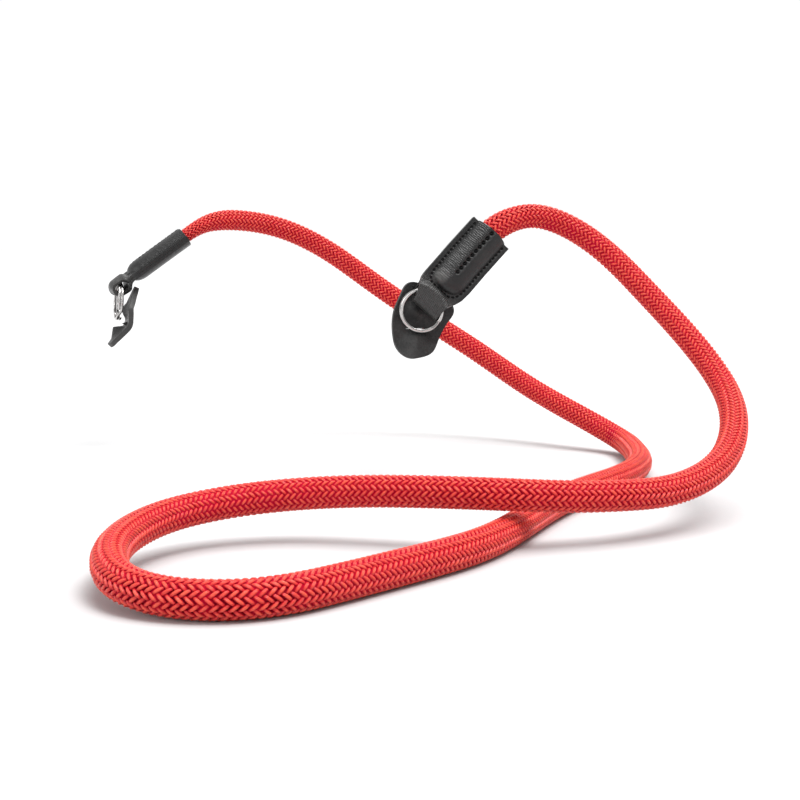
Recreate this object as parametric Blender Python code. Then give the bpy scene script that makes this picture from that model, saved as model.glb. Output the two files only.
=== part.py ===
"""A round braided neck strap with a leather end piece, a split ring and a leather guard at each end.

The strap keeps the shape that it has when both rings hang on a pair of lugs about 0.15 m apart:
it rises out of the two leather ends, falls behind, and lies in a long loop in front.
X runs to the right, Y away from the front, and Z up. The origin is where the right ring bears.
"""
import math
from collections import namedtuple

import bmesh
import bpy
import numpy as np
from mathutils import Matrix, Vector

MM = 0.001

# The braided rope.
ROPE_DIAMETER = 9.6 * MM
ROPE_POINTS = 78
ROPE_BEVEL_RESOLUTION = 4
ROPE_TUCK = 20.6 * MM
ROPE_REST_Z = -51.3
SPLINE_READINGS = 2400

# The leather end pieces. Along is measured from the fold to the mouth.
LEATHER = 1.3 * MM
END_LENGTH = 38.6 * MM
LIP_REACH = 0.6 * MM
BULGE_HALF_WIDTH = 6.3 * MM
BULGE_HALF_DEPTH = 4.3 * MM
TOE_CENTRE = 17.8 * MM
TOE_REACH = 6.6 * MM
GROOVE_DEPTH = 0.6 * MM
GROOVE_HALF_WIDTH = 0.9 * MM
GROOVE_START = 17.5 * MM
GROOVE_FADE = 2.0 * MM
CAVITY_HALF_WIDTH = 4.8 * MM
CAVITY_HALF_DEPTH = 3.0 * MM
CAVITY_FLOOR = 17.7 * MM
CAVITY_SIDES = 24
CAVITY_OVERRUN = 4.0 * MM
LOOP_HALF_GAP = 1.85 * MM
LOOP_HALF_WIDTH = 6.4 * MM
LOOP_STRAIGHT_END = 7.3 * MM
LOOP_TIP = 10.4 * MM
LOOP_EDGE_PULL = 1.9 * MM
LOOP_CUT_HALF_WIDTH = 9.5 * MM
LOOP_CUT_COLUMNS = 13
LOOP_CUT_ARC = (12.0, 35.0, 60.0, 90.0)
LOOP_CUT_TAIL = (0.0, 0.3, 0.55, 0.75, 0.93)
CUP_FADE_START = 5.0 * MM
CUP_FADE_END = 10.5 * MM

# The split rings: two flat coils of one wire.
RING_OUTER_RADIUS = 8.1 * MM
RING_WIRE_RADIAL = 1.3 * MM
RING_WIRE_AXIAL = 1.1 * MM
RING_COIL_GAP = 0.1 * MM
RING_JOG = math.radians(15)
RING_STEPS = 84

# The leather guards behind the rings.
GUARD_THICKNESS = 2.0 * MM
GUARD_DOME_HEIGHT = 1.7 * MM
GUARD_DOME_CENTRE = (-3.6 * MM, 3.0 * MM)
GUARD_DOME_RADII = (4.8 * MM, 5.4 * MM)
GUARD_BEND_RADIUS = 4.0 * MM
GUARD_SPOKES = 36
GUARD_FIRST_SPOKE = 94.0
GUARD_RINGS = (0.0, 0.12, 0.25, 0.4, 0.56, 0.72, 0.87, 1.0)
SLIT_LENGTH = 8.6 * MM
SLIT_WIDTH = 1.3 * MM
SLIT_CENTRE = (-2.9 * MM, -3.2 * MM)
NORMAL_STEP = 0.2 * MM
RIDGE_HALF_WIDTH = 2.5 * MM
RIDGE_SPREAD = 0.35
RIDGE_CLIMB = 0.12

Place = namedtuple("Place", "fold along across cup gather")
RingPlace = namedtuple("RingPlace", "centre normal split_angle")
GuardPlace = namedtuple("GuardPlace", "centre normal ridge bend_start bend_angle lean_start lean_angle")

# Where each leather end lies: its fold in mm, the way to its mouth, its width, how far the edges
# of its loop bend down over the ring, and by what share the ring gathers them.
# A ring lies by its middle in mm, the way that it faces, and where its wire is split.
# A guard has the height of its ridge below the slit, how far below the slit its lower edge starts
# to bend out, and by how many degrees, and how far above the slit its upper edge starts to lean
# back, and by how many degrees.
ENDS = {
    "left": Place((-130.3, 82.0, 11.6), (0.757, 0.301, 0.581), (0.310, -0.948, -0.069), 2.3 * MM, 0.25),
    "right": Place((0.53, -0.55, 6.87), (0.643, 0.225, 0.732), (0.745, 0.090, -0.650), 0.0, 0.06),
}
RINGS = {
    "left": RingPlace((-127.3, 83.7, 7.1), (-0.947, -0.314, 0.070), -70.0),
    "right": RingPlace((0.0, 0.0, 6.8), (0.135, -0.991, 0.0), -78.0),
}
GUARDS = {
    "left": GuardPlace((-123.3, 80.5, 0.2), (-0.966, -0.259, 0.0), 5.6 * MM, -2.0 * MM, 43.0, 7.0 * MM, 24.0),
    "right": GuardPlace((1.0, 5.1, 3.1), (0.259, -0.966, 0.0), 2.6 * MM, 4.0 * MM, 16.0, 12.0 * MM, 0.0),
}

# The guard's outline, in mm from its middle: across, up.
GUARD_OUTLINE = (
    (-4.2, 14.0),
    (-1.6, 13.4),
    (5.2, 9.3),
    (11.4, 4.6),
    (11.6, 2.8),
    (9.4, -0.9),
    (5.6, -7.6),
    (2.9, -12.0),
    (-2.0, -13.9),
    (-6.9, -13.9),
    (-10.0, -11.4),
    (-11.6, -6.4),
    (-11.9, -1.0),
    (-10.9, 4.6),
    (-8.7, 9.4),
    (-6.4, 13.2),
)

# Half widths of a leather end, in mm: along, half width.
END_WIDTHS = (
    (0.0, 5.8),
    (1.5, 6.0),
    (3.0, 6.4),
    (6.0, 7.0),
    (9.0, 8.1),
    (12.0, 8.7),
    (16.0, 8.85),
    (39.0, 8.8),
)
# How far its middle lies to one side, in mm: along, sideways.
END_SWAY = (
    (0.0, 0.1),
    (1.5, 0.0),
    (3.0, -0.4),
    (6.0, -0.9),
    (9.0, -0.6),
    (12.0, -0.2),
    (16.0, 0.0),
    (25.0, 0.0),
    (39.0, 0.3),
)
# Where the sections of a leather end lie, in mm from the fold, after the rounded fold itself.
END_STATIONS = (4.6, 6.4, 8.0, 9.6, 11.0, 12.2, 13.4, 14.8, 16.2, 17.8, 21.0, 26.0, 32.0, 36.0)
FOLD_ANGLES = (18.0, 42.0, 66.0, 90.0)
# Columns across a leather end, as shares of its half width.
END_COLUMNS = (-1.0, -0.87, -0.75, -0.65, -0.5, -0.34, -0.2, -0.1, 0.0, 0.1, 0.2, 0.34, 0.5, 0.65, 0.75, 0.87, 1.0)

# The rope's way from the left mouth to the right one, in mm.
ROUTE = (
    (-92.7, 99.0, 39.6),
    (-76.5, 109.3, 41.5),
    (-59.5, 116.9, 37.9),
    (-36.7, 122.7, 26.1),
    (-21.5, 124.5, 15.2),
    (5.7, 123.7, -3.2),
    (25.0, 119.4, -15.4),
    (47.9, 106.8, -30.5),
    (70.2, 85.4, -42.5),
    (83.5, 69.6, -49.5),
    (86.0, 46.3, ROPE_REST_Z),
    (82.6, 10.9, ROPE_REST_Z),
    (74.1, -15.8, ROPE_REST_Z),
    (49.9, -58.3, ROPE_REST_Z),
    (31.2, -100.9, ROPE_REST_Z),
    (11.2, -144.4, ROPE_REST_Z),
    (-8.1, -168.6, ROPE_REST_Z),
    (-24.9, -187.7, ROPE_REST_Z),
    (-41.2, -200.6, ROPE_REST_Z),
    (-58.0, -201.6, -51.1),
    (-72.5, -193.0, -50.0),
    (-80.6, -172.0, -47.6),
    (-79.1, -149.2, -46.0),
    (-70.0, -128.5, -44.6),
    (-50.1, -114.2, -43.0),
    (-24.5, -113.4, -41.2),
    (1.0, -119.6, -40.2),
    (23.9, -122.6, -40.5),
    (42.4, -119.1, -41.6),
    (58.6, -112.7, -42.3),
    (71.7, -103.4, -42.7),
    (84.7, -90.2, -40.9),
    (96.9, -71.4, -35.5),
    (103.5, -49.8, -26.4),
    (103.8, -30.9, -17.4),
    (97.0, -11.3, -4.1),
    (82.7, 9.2, 14.3),
    (63.7, 21.0, 32.9),
    (44.8, 18.0, 41.2),
    (34.3, 12.4, 40.2),
)
# The rope's thickness as a share of its diameter, at shares of its length from mouth to mouth.
ROPE_SWELL = (
    (0.0, 0.53),
    (0.013, 0.92),
    (0.03, 0.95),
    (0.12, 0.98),
    (0.45, 1.0),
    (0.60, 1.03),
    (0.75, 1.0),
    (0.97, 0.96),
    (0.987, 0.93),
    (1.0, 0.51),
)

RED = (0.72, 0.02, 0.03, 1.0)
BLACK = (0.018, 0.018, 0.02, 1.0)
STEEL = (0.72, 0.71, 0.70, 1.0)


def clear_scene():
    """Removes every object that the scene holds."""
    for obj in list(bpy.data.objects):
        bpy.data.objects.remove(obj, do_unlink=True)


def material(name, colour, roughness, metallic):
    """A Principled material of one colour."""
    made = bpy.data.materials.new(name)
    made.use_nodes = True
    made.diffuse_color = colour
    shader = made.node_tree.nodes["Principled BSDF"]
    shader.inputs["Base Color"].default_value = colour
    shader.inputs["Roughness"].default_value = roughness
    shader.inputs["Metallic"].default_value = metallic
    return made


def in_mm(point):
    """A point that is given in millimetres, as a vector in metres."""
    return Vector(point) * MM


def along_table(table, value):
    """Reads a two-column table at a value, in straight lines between its rows."""
    columns = np.array(table)
    return float(np.interp(value, columns[:, 0], columns[:, 1]))


def ease(value):
    """Rises smoothly from 0 to 1."""
    held = min(1.0, max(0.0, value))
    return held * held * (3.0 - 2.0 * held)


def natural_spline(points, closed=False):
    """The smooth curve through the points, and its whole length along the chords."""
    stops = np.array(points, dtype=float)
    if closed:
        stops = np.vstack([stops[-3:], stops, stops[:3]])
    chords = np.linalg.norm(np.diff(stops, axis=0), axis=1)
    knots = np.concatenate([[0.0], np.cumsum(chords)])
    count = len(stops)
    system = np.eye(count)
    slopes = np.zeros_like(stops)
    for row in range(1, count - 1):
        before, after = chords[row - 1], chords[row]
        system[row, row - 1:row + 2] = before, 2.0 * (before + after), after
        rise = (stops[row + 1] - stops[row]) / after - (stops[row] - stops[row - 1]) / before
        slopes[row] = 6.0 * rise
    bends = np.linalg.solve(system, slopes)

    def read(at):
        place = min(max(int(np.searchsorted(knots, at)) - 1, 0), count - 2)
        width = chords[place]
        right = (at - knots[place]) / width
        left = 1.0 - right
        curve = left * stops[place] + right * stops[place + 1]
        sag = (left ** 3 - left) * bends[place] + (right ** 3 - right) * bends[place + 1]
        return curve + sag * width * width / 6.0

    first = knots[3] if closed else 0.0
    last = knots[-3] if closed else knots[-1]
    return read, first, last


def even_points(read, first, last, count):
    """Points at equal steps along a curve, from its first to its last."""
    fine = [read(at) for at in np.linspace(first, last, SPLINE_READINGS)]
    steps = np.linalg.norm(np.diff(np.array(fine), axis=0), axis=1)
    travelled = np.concatenate([[0.0], np.cumsum(steps)])
    wanted = np.linspace(0.0, travelled[-1], count)
    return np.array([np.interp(wanted, travelled, column) for column in np.array(fine).T]).T


def frame_of(origin, along, across):
    """A placement whose X is the width, Y the length and Z the outer face."""
    y_axis = Vector(along).normalized()
    x_axis = Vector(across)
    x_axis = (x_axis - x_axis.dot(y_axis) * y_axis).normalized()
    z_axis = x_axis.cross(y_axis)
    turned = Matrix((x_axis, y_axis, z_axis)).transposed().to_4x4()
    return Matrix.Translation(in_mm(origin)) @ turned


def facing(origin, normal):
    """A placement whose Z is the normal and whose Y is as upright as it can be."""
    z_axis = Vector(normal).normalized()
    x_axis = Vector((0.0, 0.0, 1.0)).cross(z_axis).normalized()
    y_axis = z_axis.cross(x_axis)
    turned = Matrix((x_axis, y_axis, z_axis)).transposed().to_4x4()
    return Matrix.Translation(in_mm(origin)) @ turned


def new_object(name, mesh, placement, finish):
    """Links an object with its mesh, its placement and its material."""
    obj = bpy.data.objects.new(name, mesh)
    bpy.context.scene.collection.objects.link(obj)
    obj.matrix_world = placement
    if finish is not None:
        mesh.materials.append(finish)
    return obj


def skin_of_rings(rings):
    """A closed mesh bridged through rings of points, with a face on each end."""
    mesh = bpy.data.meshes.new("skin")
    shell = bmesh.new()
    rows = [[shell.verts.new(point) for point in ring] for ring in rings]
    for lower, upper in zip(rows, rows[1:]):
        for index in range(len(lower)):
            after = (index + 1) % len(lower)
            shell.faces.new((lower[index], lower[after], upper[after], upper[index]))
    shell.faces.new(list(reversed(rows[0])))
    shell.faces.new(rows[-1])
    bmesh.ops.recalc_face_normals(shell, faces=shell.faces)
    shell.to_mesh(mesh)
    shell.free()
    return mesh


def cut(obj, mesh, placement):
    """Cuts a hidden mesh out of an object."""
    cutter = new_object(obj.name + "_cutter", mesh, placement, None)
    cutter.hide_render = True
    cutter.display_type = "WIRE"
    boolean = obj.modifiers.new("cut", "BOOLEAN")
    boolean.operation = "DIFFERENCE"
    boolean.object = cutter


def smooth(obj, degrees):
    """Shades an object smooth but for its sharp edges."""
    obj.data.shade_smooth()
    obj.data.set_sharp_from_angle(angle=math.radians(degrees))


def rope_route():
    """All the points of the rope's way, its two tucked ends among them, in metres."""
    left, right = ENDS["left"], ENDS["right"]
    tucks = (ROPE_TUCK, 0.5 * ROPE_TUCK, 0.0)
    first = [frame_of(*left[:3]) @ Vector((0.0, END_LENGTH - back, 0.0)) for back in tucks]
    last = [frame_of(*right[:3]) @ Vector((0.0, END_LENGTH - back, 0.0)) for back in reversed(tucks)]
    return [tuple(point) for point in (*first, *map(in_mm, ROUTE), *last)]


def build_rope(finish):
    """The rope, from inside one leather end to inside the other."""
    read, first, last = natural_spline(rope_route())
    free = even_points(read, first + ROPE_TUCK, last - ROPE_TUCK, ROPE_POINTS - 2)
    points = [read(first), *free, read(last)]
    swell = [along_table(ROPE_SWELL, share) for share in np.linspace(0.0, 1.0, len(free))]
    swell = [swell[0], *swell, swell[-1]]
    curve = bpy.data.curves.new("rope", "CURVE")
    curve.dimensions = "3D"
    curve.bevel_depth = 0.5 * ROPE_DIAMETER
    curve.bevel_resolution = ROPE_BEVEL_RESOLUTION
    curve.use_fill_caps = True
    spline = curve.splines.new("POLY")
    spline.points.add(ROPE_POINTS - 1)
    for stop, point, share in zip(spline.points, points, swell):
        stop.co = (*point, 1.0)
        stop.radius = share
    curve.materials.append(finish)
    rope = bpy.data.objects.new("rope", curve)
    bpy.context.scene.collection.objects.link(rope)
    return rope


def edge_share(across):
    """Rises from 0 on the middle line to 1 at the loop's edges, and stays there."""
    return min(1.0, (across / LOOP_HALF_WIDTH) ** 2)


def cup_drop(across, along, depth):
    """How far a point of the loop bends down towards the loop's edges."""
    fade = 1.0 - ease((along - CUP_FADE_START) / (CUP_FADE_END - CUP_FADE_START))
    return depth * edge_share(across) * fade


def loop_half_gap(across, along):
    """Half the hollow of the loop, which closes sooner towards its edges."""
    pull = LOOP_EDGE_PULL * edge_share(across)
    tail = (LOOP_TIP - pull - along) / (LOOP_TIP - LOOP_STRAIGHT_END)
    return LOOP_HALF_GAP * ease(tail)


def half_thickness(across, along):
    """Half the thickness of a leather end, from its mid plane."""
    outer_radius = LOOP_HALF_GAP + LEATHER
    if along < outer_radius:
        return math.sqrt(outer_radius ** 2 - (outer_radius - along) ** 2)
    flat = LEATHER + loop_half_gap(across, along)
    toe = max(0.0, TOE_CENTRE - along) / TOE_REACH
    inside = 1.0 - (across / BULGE_HALF_WIDTH) ** 2 - toe ** 2
    bulge = BULGE_HALF_DEPTH * math.sqrt(max(0.0, inside))
    return max(flat, bulge)


def groove(across, along):
    """How deep the stitched groove down the middle of the outer face is."""
    start = ease((along - GROOVE_START) / GROOVE_FADE)
    return GROOVE_DEPTH * start * math.exp(-((across / GROOVE_HALF_WIDTH) ** 2))


def leather_section(along, place):
    """One ring of points round a leather end."""
    fade = 1.0 - ease((along - CUP_FADE_START) / (CUP_FADE_END - CUP_FADE_START))
    half = along_table(END_WIDTHS, along / MM) * MM * (1.0 - place.gather * fade)
    sway = along_table(END_SWAY, along / MM) * MM
    outer, inner = [], []
    for share in END_COLUMNS:
        across = share * half
        thick = half_thickness(across, along)
        drop = cup_drop(across, along, place.cup)
        lip = 0.0
        if along >= END_LENGTH:
            lip = LIP_REACH * math.sqrt(max(0.0, 1.0 - (across / BULGE_HALF_WIDTH) ** 2))
        outer.append((across + sway, along + lip, thick - groove(across, along) - drop))
        inner.append((across + sway, along + lip, -thick - drop))
    return outer + list(reversed(inner))


def loop_cutter(place):
    """The hollow of the loop, right through from edge to edge."""
    arc = [math.radians(angle) for angle in LOOP_CUT_ARC]
    profile = [(LEATHER + LOOP_HALF_GAP * (1.0 - math.cos(a)), LOOP_HALF_GAP * math.sin(a)) for a in arc]
    rings = []
    for across in np.linspace(-LOOP_CUT_HALF_WIDTH, LOOP_CUT_HALF_WIDTH, LOOP_CUT_COLUMNS):
        pull = LOOP_EDGE_PULL * edge_share(across)
        tail = [LOOP_STRAIGHT_END - pull + stop * (LOOP_TIP - LOOP_STRAIGHT_END) for stop in LOOP_CUT_TAIL]
        outline = profile + [(along, loop_half_gap(across, along)) for along in tail]
        drops = [cup_drop(across, along, place.cup) for along, _ in outline]
        upper = [(across, along, half - drop) for (along, half), drop in zip(outline, drops)]
        lower = [(across, along, -half - drop) for (along, half), drop in zip(outline, drops)]
        rings.append(upper + list(reversed(lower)))
    return skin_of_rings(rings)


def cavity_cutter():
    """The hollow that holds the rope, open at the mouth."""
    rings = []
    for along in (CAVITY_FLOOR, END_LENGTH + CAVITY_OVERRUN):
        turns = [2.0 * math.pi * index / CAVITY_SIDES for index in range(CAVITY_SIDES)]
        rings.append([
            (CAVITY_HALF_WIDTH * math.cos(turn), along, CAVITY_HALF_DEPTH * math.sin(turn)) for turn in turns
        ])
    return skin_of_rings(rings)


def build_leather_end(name, place, finish):
    """A leather strip folded round the ring and closed over the rope."""
    placement = frame_of(*place[:3])
    outer_radius = LOOP_HALF_GAP + LEATHER
    stations = [outer_radius * (1.0 - math.cos(math.radians(angle))) for angle in FOLD_ANGLES]
    stations += [station * MM for station in END_STATIONS]
    stations.append(END_LENGTH)
    mesh = skin_of_rings([leather_section(along, place) for along in stations])
    obj = new_object(name, mesh, placement, finish)
    cut(obj, loop_cutter(place), placement)
    cut(obj, cavity_cutter(), placement)
    smooth(obj, 40.0)
    return obj


def wire_section():
    """The rounded section of the ring's wire: outward, sideways."""
    half_radial = 0.5 * RING_WIRE_RADIAL
    half_axial = 0.5 * RING_WIRE_AXIAL
    return [
        (half_radial, -0.45 * half_axial),
        (half_radial, 0.45 * half_axial),
        (0.5 * half_radial, half_axial),
        (-0.5 * half_radial, half_axial),
        (-half_radial, 0.45 * half_axial),
        (-half_radial, -0.45 * half_axial),
        (-0.5 * half_radial, -half_axial),
        (0.5 * half_radial, -half_axial),
    ]


def build_ring(name, place, finish):
    """A split ring: the wire goes round twice and steps across once."""
    radius = RING_OUTER_RADIUS - 0.5 * RING_WIRE_RADIAL
    offset = 0.5 * (RING_WIRE_AXIAL + RING_COIL_GAP)
    full = 2.0 * math.pi
    rings = []
    for turn in np.linspace(RING_JOG, 2.0 * full - RING_JOG, RING_STEPS):
        step = ease((turn - full + RING_JOG) / (2.0 * RING_JOG))
        side = offset * (2.0 * step - 1.0)
        angle = turn + math.radians(place.split_angle)
        rings.append([
            ((radius + out) * math.cos(angle), (radius + out) * math.sin(angle), side + across)
            for out, across in wire_section()
        ])
    obj = new_object(name, skin_of_rings(rings), facing(place.centre, place.normal), finish)
    smooth(obj, 50.0)
    return obj


def bent(distance, angle):
    """How far a leaf reaches down and out, that far past the start of its bend."""
    limit = math.radians(angle)
    turned = min(limit, distance / GUARD_BEND_RADIUS)
    straight = max(0.0, distance - limit * GUARD_BEND_RADIUS)
    down = GUARD_BEND_RADIUS * math.sin(turned) + straight * math.cos(turned)
    out = GUARD_BEND_RADIUS * (1.0 - math.cos(turned)) + straight * math.sin(turned)
    return down, out


def guard_lift(across, up, place):
    """Where a point of the guard goes: over the dome, the ridge below the slit and the bent edge."""
    centre, radii = GUARD_DOME_CENTRE, GUARD_DOME_RADII
    far = ((across - centre[0]) / radii[0]) ** 2 + ((up - centre[1]) / radii[1]) ** 2
    dome = GUARD_DOME_HEIGHT * ease(1.0 - math.sqrt(far)) if far < 1.0 else 0.0
    below = SLIT_CENTRE[1] - up
    down, out = bent(max(0.0, below - place.bend_start), place.bend_angle)
    dropped = up - (down - max(0.0, below - place.bend_start))
    width = RIDGE_HALF_WIDTH + RIDGE_SPREAD * max(0.0, below)
    crest = max(out, place.ridge + RIDGE_CLIMB * below)
    share = ease(below / SLIT_WIDTH + 0.5) * math.exp(-(((across - SLIT_CENTRE[0]) / width) ** 2))
    above = max(0.0, -below - place.lean_start)
    risen, back = bent(above, place.lean_angle)
    return Vector((across, dropped - above + risen, dome + out - back + (crest - out) * share))


def guard_normal(across, up, place):
    """Which way the guard faces at a point, with the slit's own step left out."""
    side = -1.0 if up > SLIT_CENTRE[1] else 1.0
    here = up - side * max(0.0, 0.5 * SLIT_WIDTH - abs(up - SLIT_CENTRE[1]))
    right, left = across + NORMAL_STEP, across - NORMAL_STEP
    along_x = guard_lift(right, here, place) - guard_lift(left, here, place)
    away = guard_lift(across, here - side * NORMAL_STEP, place) - guard_lift(across, here, place)
    return along_x.cross(-side * away).normalized()


def slit_outline():
    """The slim slit's edge, point for point as the guard's outline is walked."""
    points = []
    for spoke in range(GUARD_SPOKES):
        turn = math.radians(GUARD_FIRST_SPOKE) - 2.0 * math.pi * spoke / GUARD_SPOKES
        rise = math.sin(turn)
        points.append((
            SLIT_CENTRE[0] + 0.5 * SLIT_LENGTH * math.cos(turn),
            SLIT_CENTRE[1] + 0.5 * SLIT_WIDTH * math.copysign(math.sqrt(abs(rise)), rise),
            0.0,
        ))
    return points


def build_guard(name, place, finish):
    """A leather guard with a slit for the lug, a dome above it and a ridge and a bent edge below."""
    read, first, last = natural_spline([in_mm((*row, 0.0)) for row in GUARD_OUTLINE], closed=True)
    edge = even_points(read, first, last, GUARD_SPOKES + 1)[:-1]
    slit = slit_outline()
    mesh = bpy.data.meshes.new(name)
    shell = bmesh.new()
    layers = []
    for depth in (0.0, -GUARD_THICKNESS):
        rows = []
        for share in GUARD_RINGS:
            flats = [Vector(inner).lerp(Vector(outer), share) for inner, outer in zip(slit, edge)]
            lifted = [
                guard_lift(flat.x, flat.y, place) + depth * guard_normal(flat.x, flat.y, place)
                for flat in flats
            ]
            rows.append([shell.verts.new(point) for point in lifted])
        layers.append(rows)
    front, back = layers
    loops = front + list(reversed(back))
    for lower, upper in zip(loops, loops[1:] + loops[:1]):
        for index in range(GUARD_SPOKES):
            after = (index + 1) % GUARD_SPOKES
            shell.faces.new((lower[index], lower[after], upper[after], upper[index]))
    bmesh.ops.recalc_face_normals(shell, faces=shell.faces)
    shell.to_mesh(mesh)
    shell.free()
    obj = new_object(name, mesh, facing(place.centre, place.normal), finish)
    smooth(obj, 40.0)
    return obj


def main():
    """Builds the strap."""
    clear_scene()
    red = material("braided_cord", RED, 0.75, 0.0)
    black = material("black_leather", BLACK, 0.5, 0.0)
    steel = material("ring_steel", STEEL, 0.18, 1.0)
    build_rope(red)
    for side in ("left", "right"):
        build_leather_end("leather_end_" + side, ENDS[side], black)
        build_ring("split_ring_" + side, RINGS[side], steel)
        build_guard("guard_" + side, GUARDS[side], black)
    bpy.context.view_layer.update()


main()
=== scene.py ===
"""Dresses the braided neck strap: its rope, leather ends, split rings and guards, in a white studio.

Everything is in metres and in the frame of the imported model: X to the right, Y away from the
front, Z up, with the origin where the right ring bears. MM turns a size in millimetres to metres,
and FLOAT_HALF_WIDTH is half the width of one float of yarn, which its shape and its finish share.
"""
from __future__ import annotations

import logging
import math
from dataclasses import dataclass
from enum import Enum

import bpy
import numpy as np
from mathutils import Matrix, Vector

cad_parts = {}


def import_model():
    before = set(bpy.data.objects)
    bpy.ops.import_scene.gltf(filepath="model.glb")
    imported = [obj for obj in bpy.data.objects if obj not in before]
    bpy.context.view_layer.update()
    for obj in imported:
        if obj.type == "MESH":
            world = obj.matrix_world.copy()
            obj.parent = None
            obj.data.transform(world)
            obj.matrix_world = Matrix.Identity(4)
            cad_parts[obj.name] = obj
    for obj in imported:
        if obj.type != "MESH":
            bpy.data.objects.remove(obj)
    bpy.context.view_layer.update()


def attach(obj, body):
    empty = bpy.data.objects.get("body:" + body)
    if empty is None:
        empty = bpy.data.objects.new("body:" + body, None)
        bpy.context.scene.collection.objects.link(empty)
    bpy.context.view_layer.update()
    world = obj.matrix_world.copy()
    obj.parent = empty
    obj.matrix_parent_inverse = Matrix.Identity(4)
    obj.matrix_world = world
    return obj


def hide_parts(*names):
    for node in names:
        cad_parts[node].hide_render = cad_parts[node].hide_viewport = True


MM = 0.001
FLOAT_HALF_WIDTH = 0.59 * MM
LOG = logging.getLogger("neck_strap")
Colour = tuple[float, float, float, float]
Point = tuple[float, float, float]


class Side(Enum):
    """Which end of the strap a piece belongs to."""

    LEFT = "left"
    RIGHT = "right"


class Lean(Enum):
    """Which way the floats of one wale of the braid slant."""

    LEFT_HANDED = -1.0
    RIGHT_HANDED = 1.0


# ---------------------------------------------------------------------------------------------
# Shader nodes
# ---------------------------------------------------------------------------------------------


class Socket:
    """A shader socket that takes part in Python sums."""

    def __init__(self, board: NodeBoard, socket: bpy.types.NodeSocket) -> None:
        """Keeps the socket and the board that it is on."""
        self.board = board
        self.socket = socket

    def _math(self, operation: str, first: Socket | float, second: Socket | float) -> Socket:
        """One Math node on two values."""
        return self.board.add("ShaderNodeMath", {"operation": operation}, {0: first, 1: second})

    def __add__(self, other: Socket | float) -> Socket:
        """This value plus another."""
        return self._math("ADD", self, other)

    __radd__ = __add__

    def __sub__(self, other: Socket | float) -> Socket:
        """This value less another."""
        return self._math("SUBTRACT", self, other)

    def __rsub__(self, other: Socket | float) -> Socket:
        """Another value less this one."""
        return self._math("SUBTRACT", other, self)

    def __mul__(self, other: Socket | float) -> Socket:
        """This value times another."""
        return self._math("MULTIPLY", self, other)

    __rmul__ = __mul__

    def sine(self) -> Socket:
        """The sine of this value."""
        return self._math("SINE", self, 0.0)

    def held(self) -> Socket:
        """This value kept between 0 and 1."""
        return self.board.add("ShaderNodeClamp", {}, {"Value": self})


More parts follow.
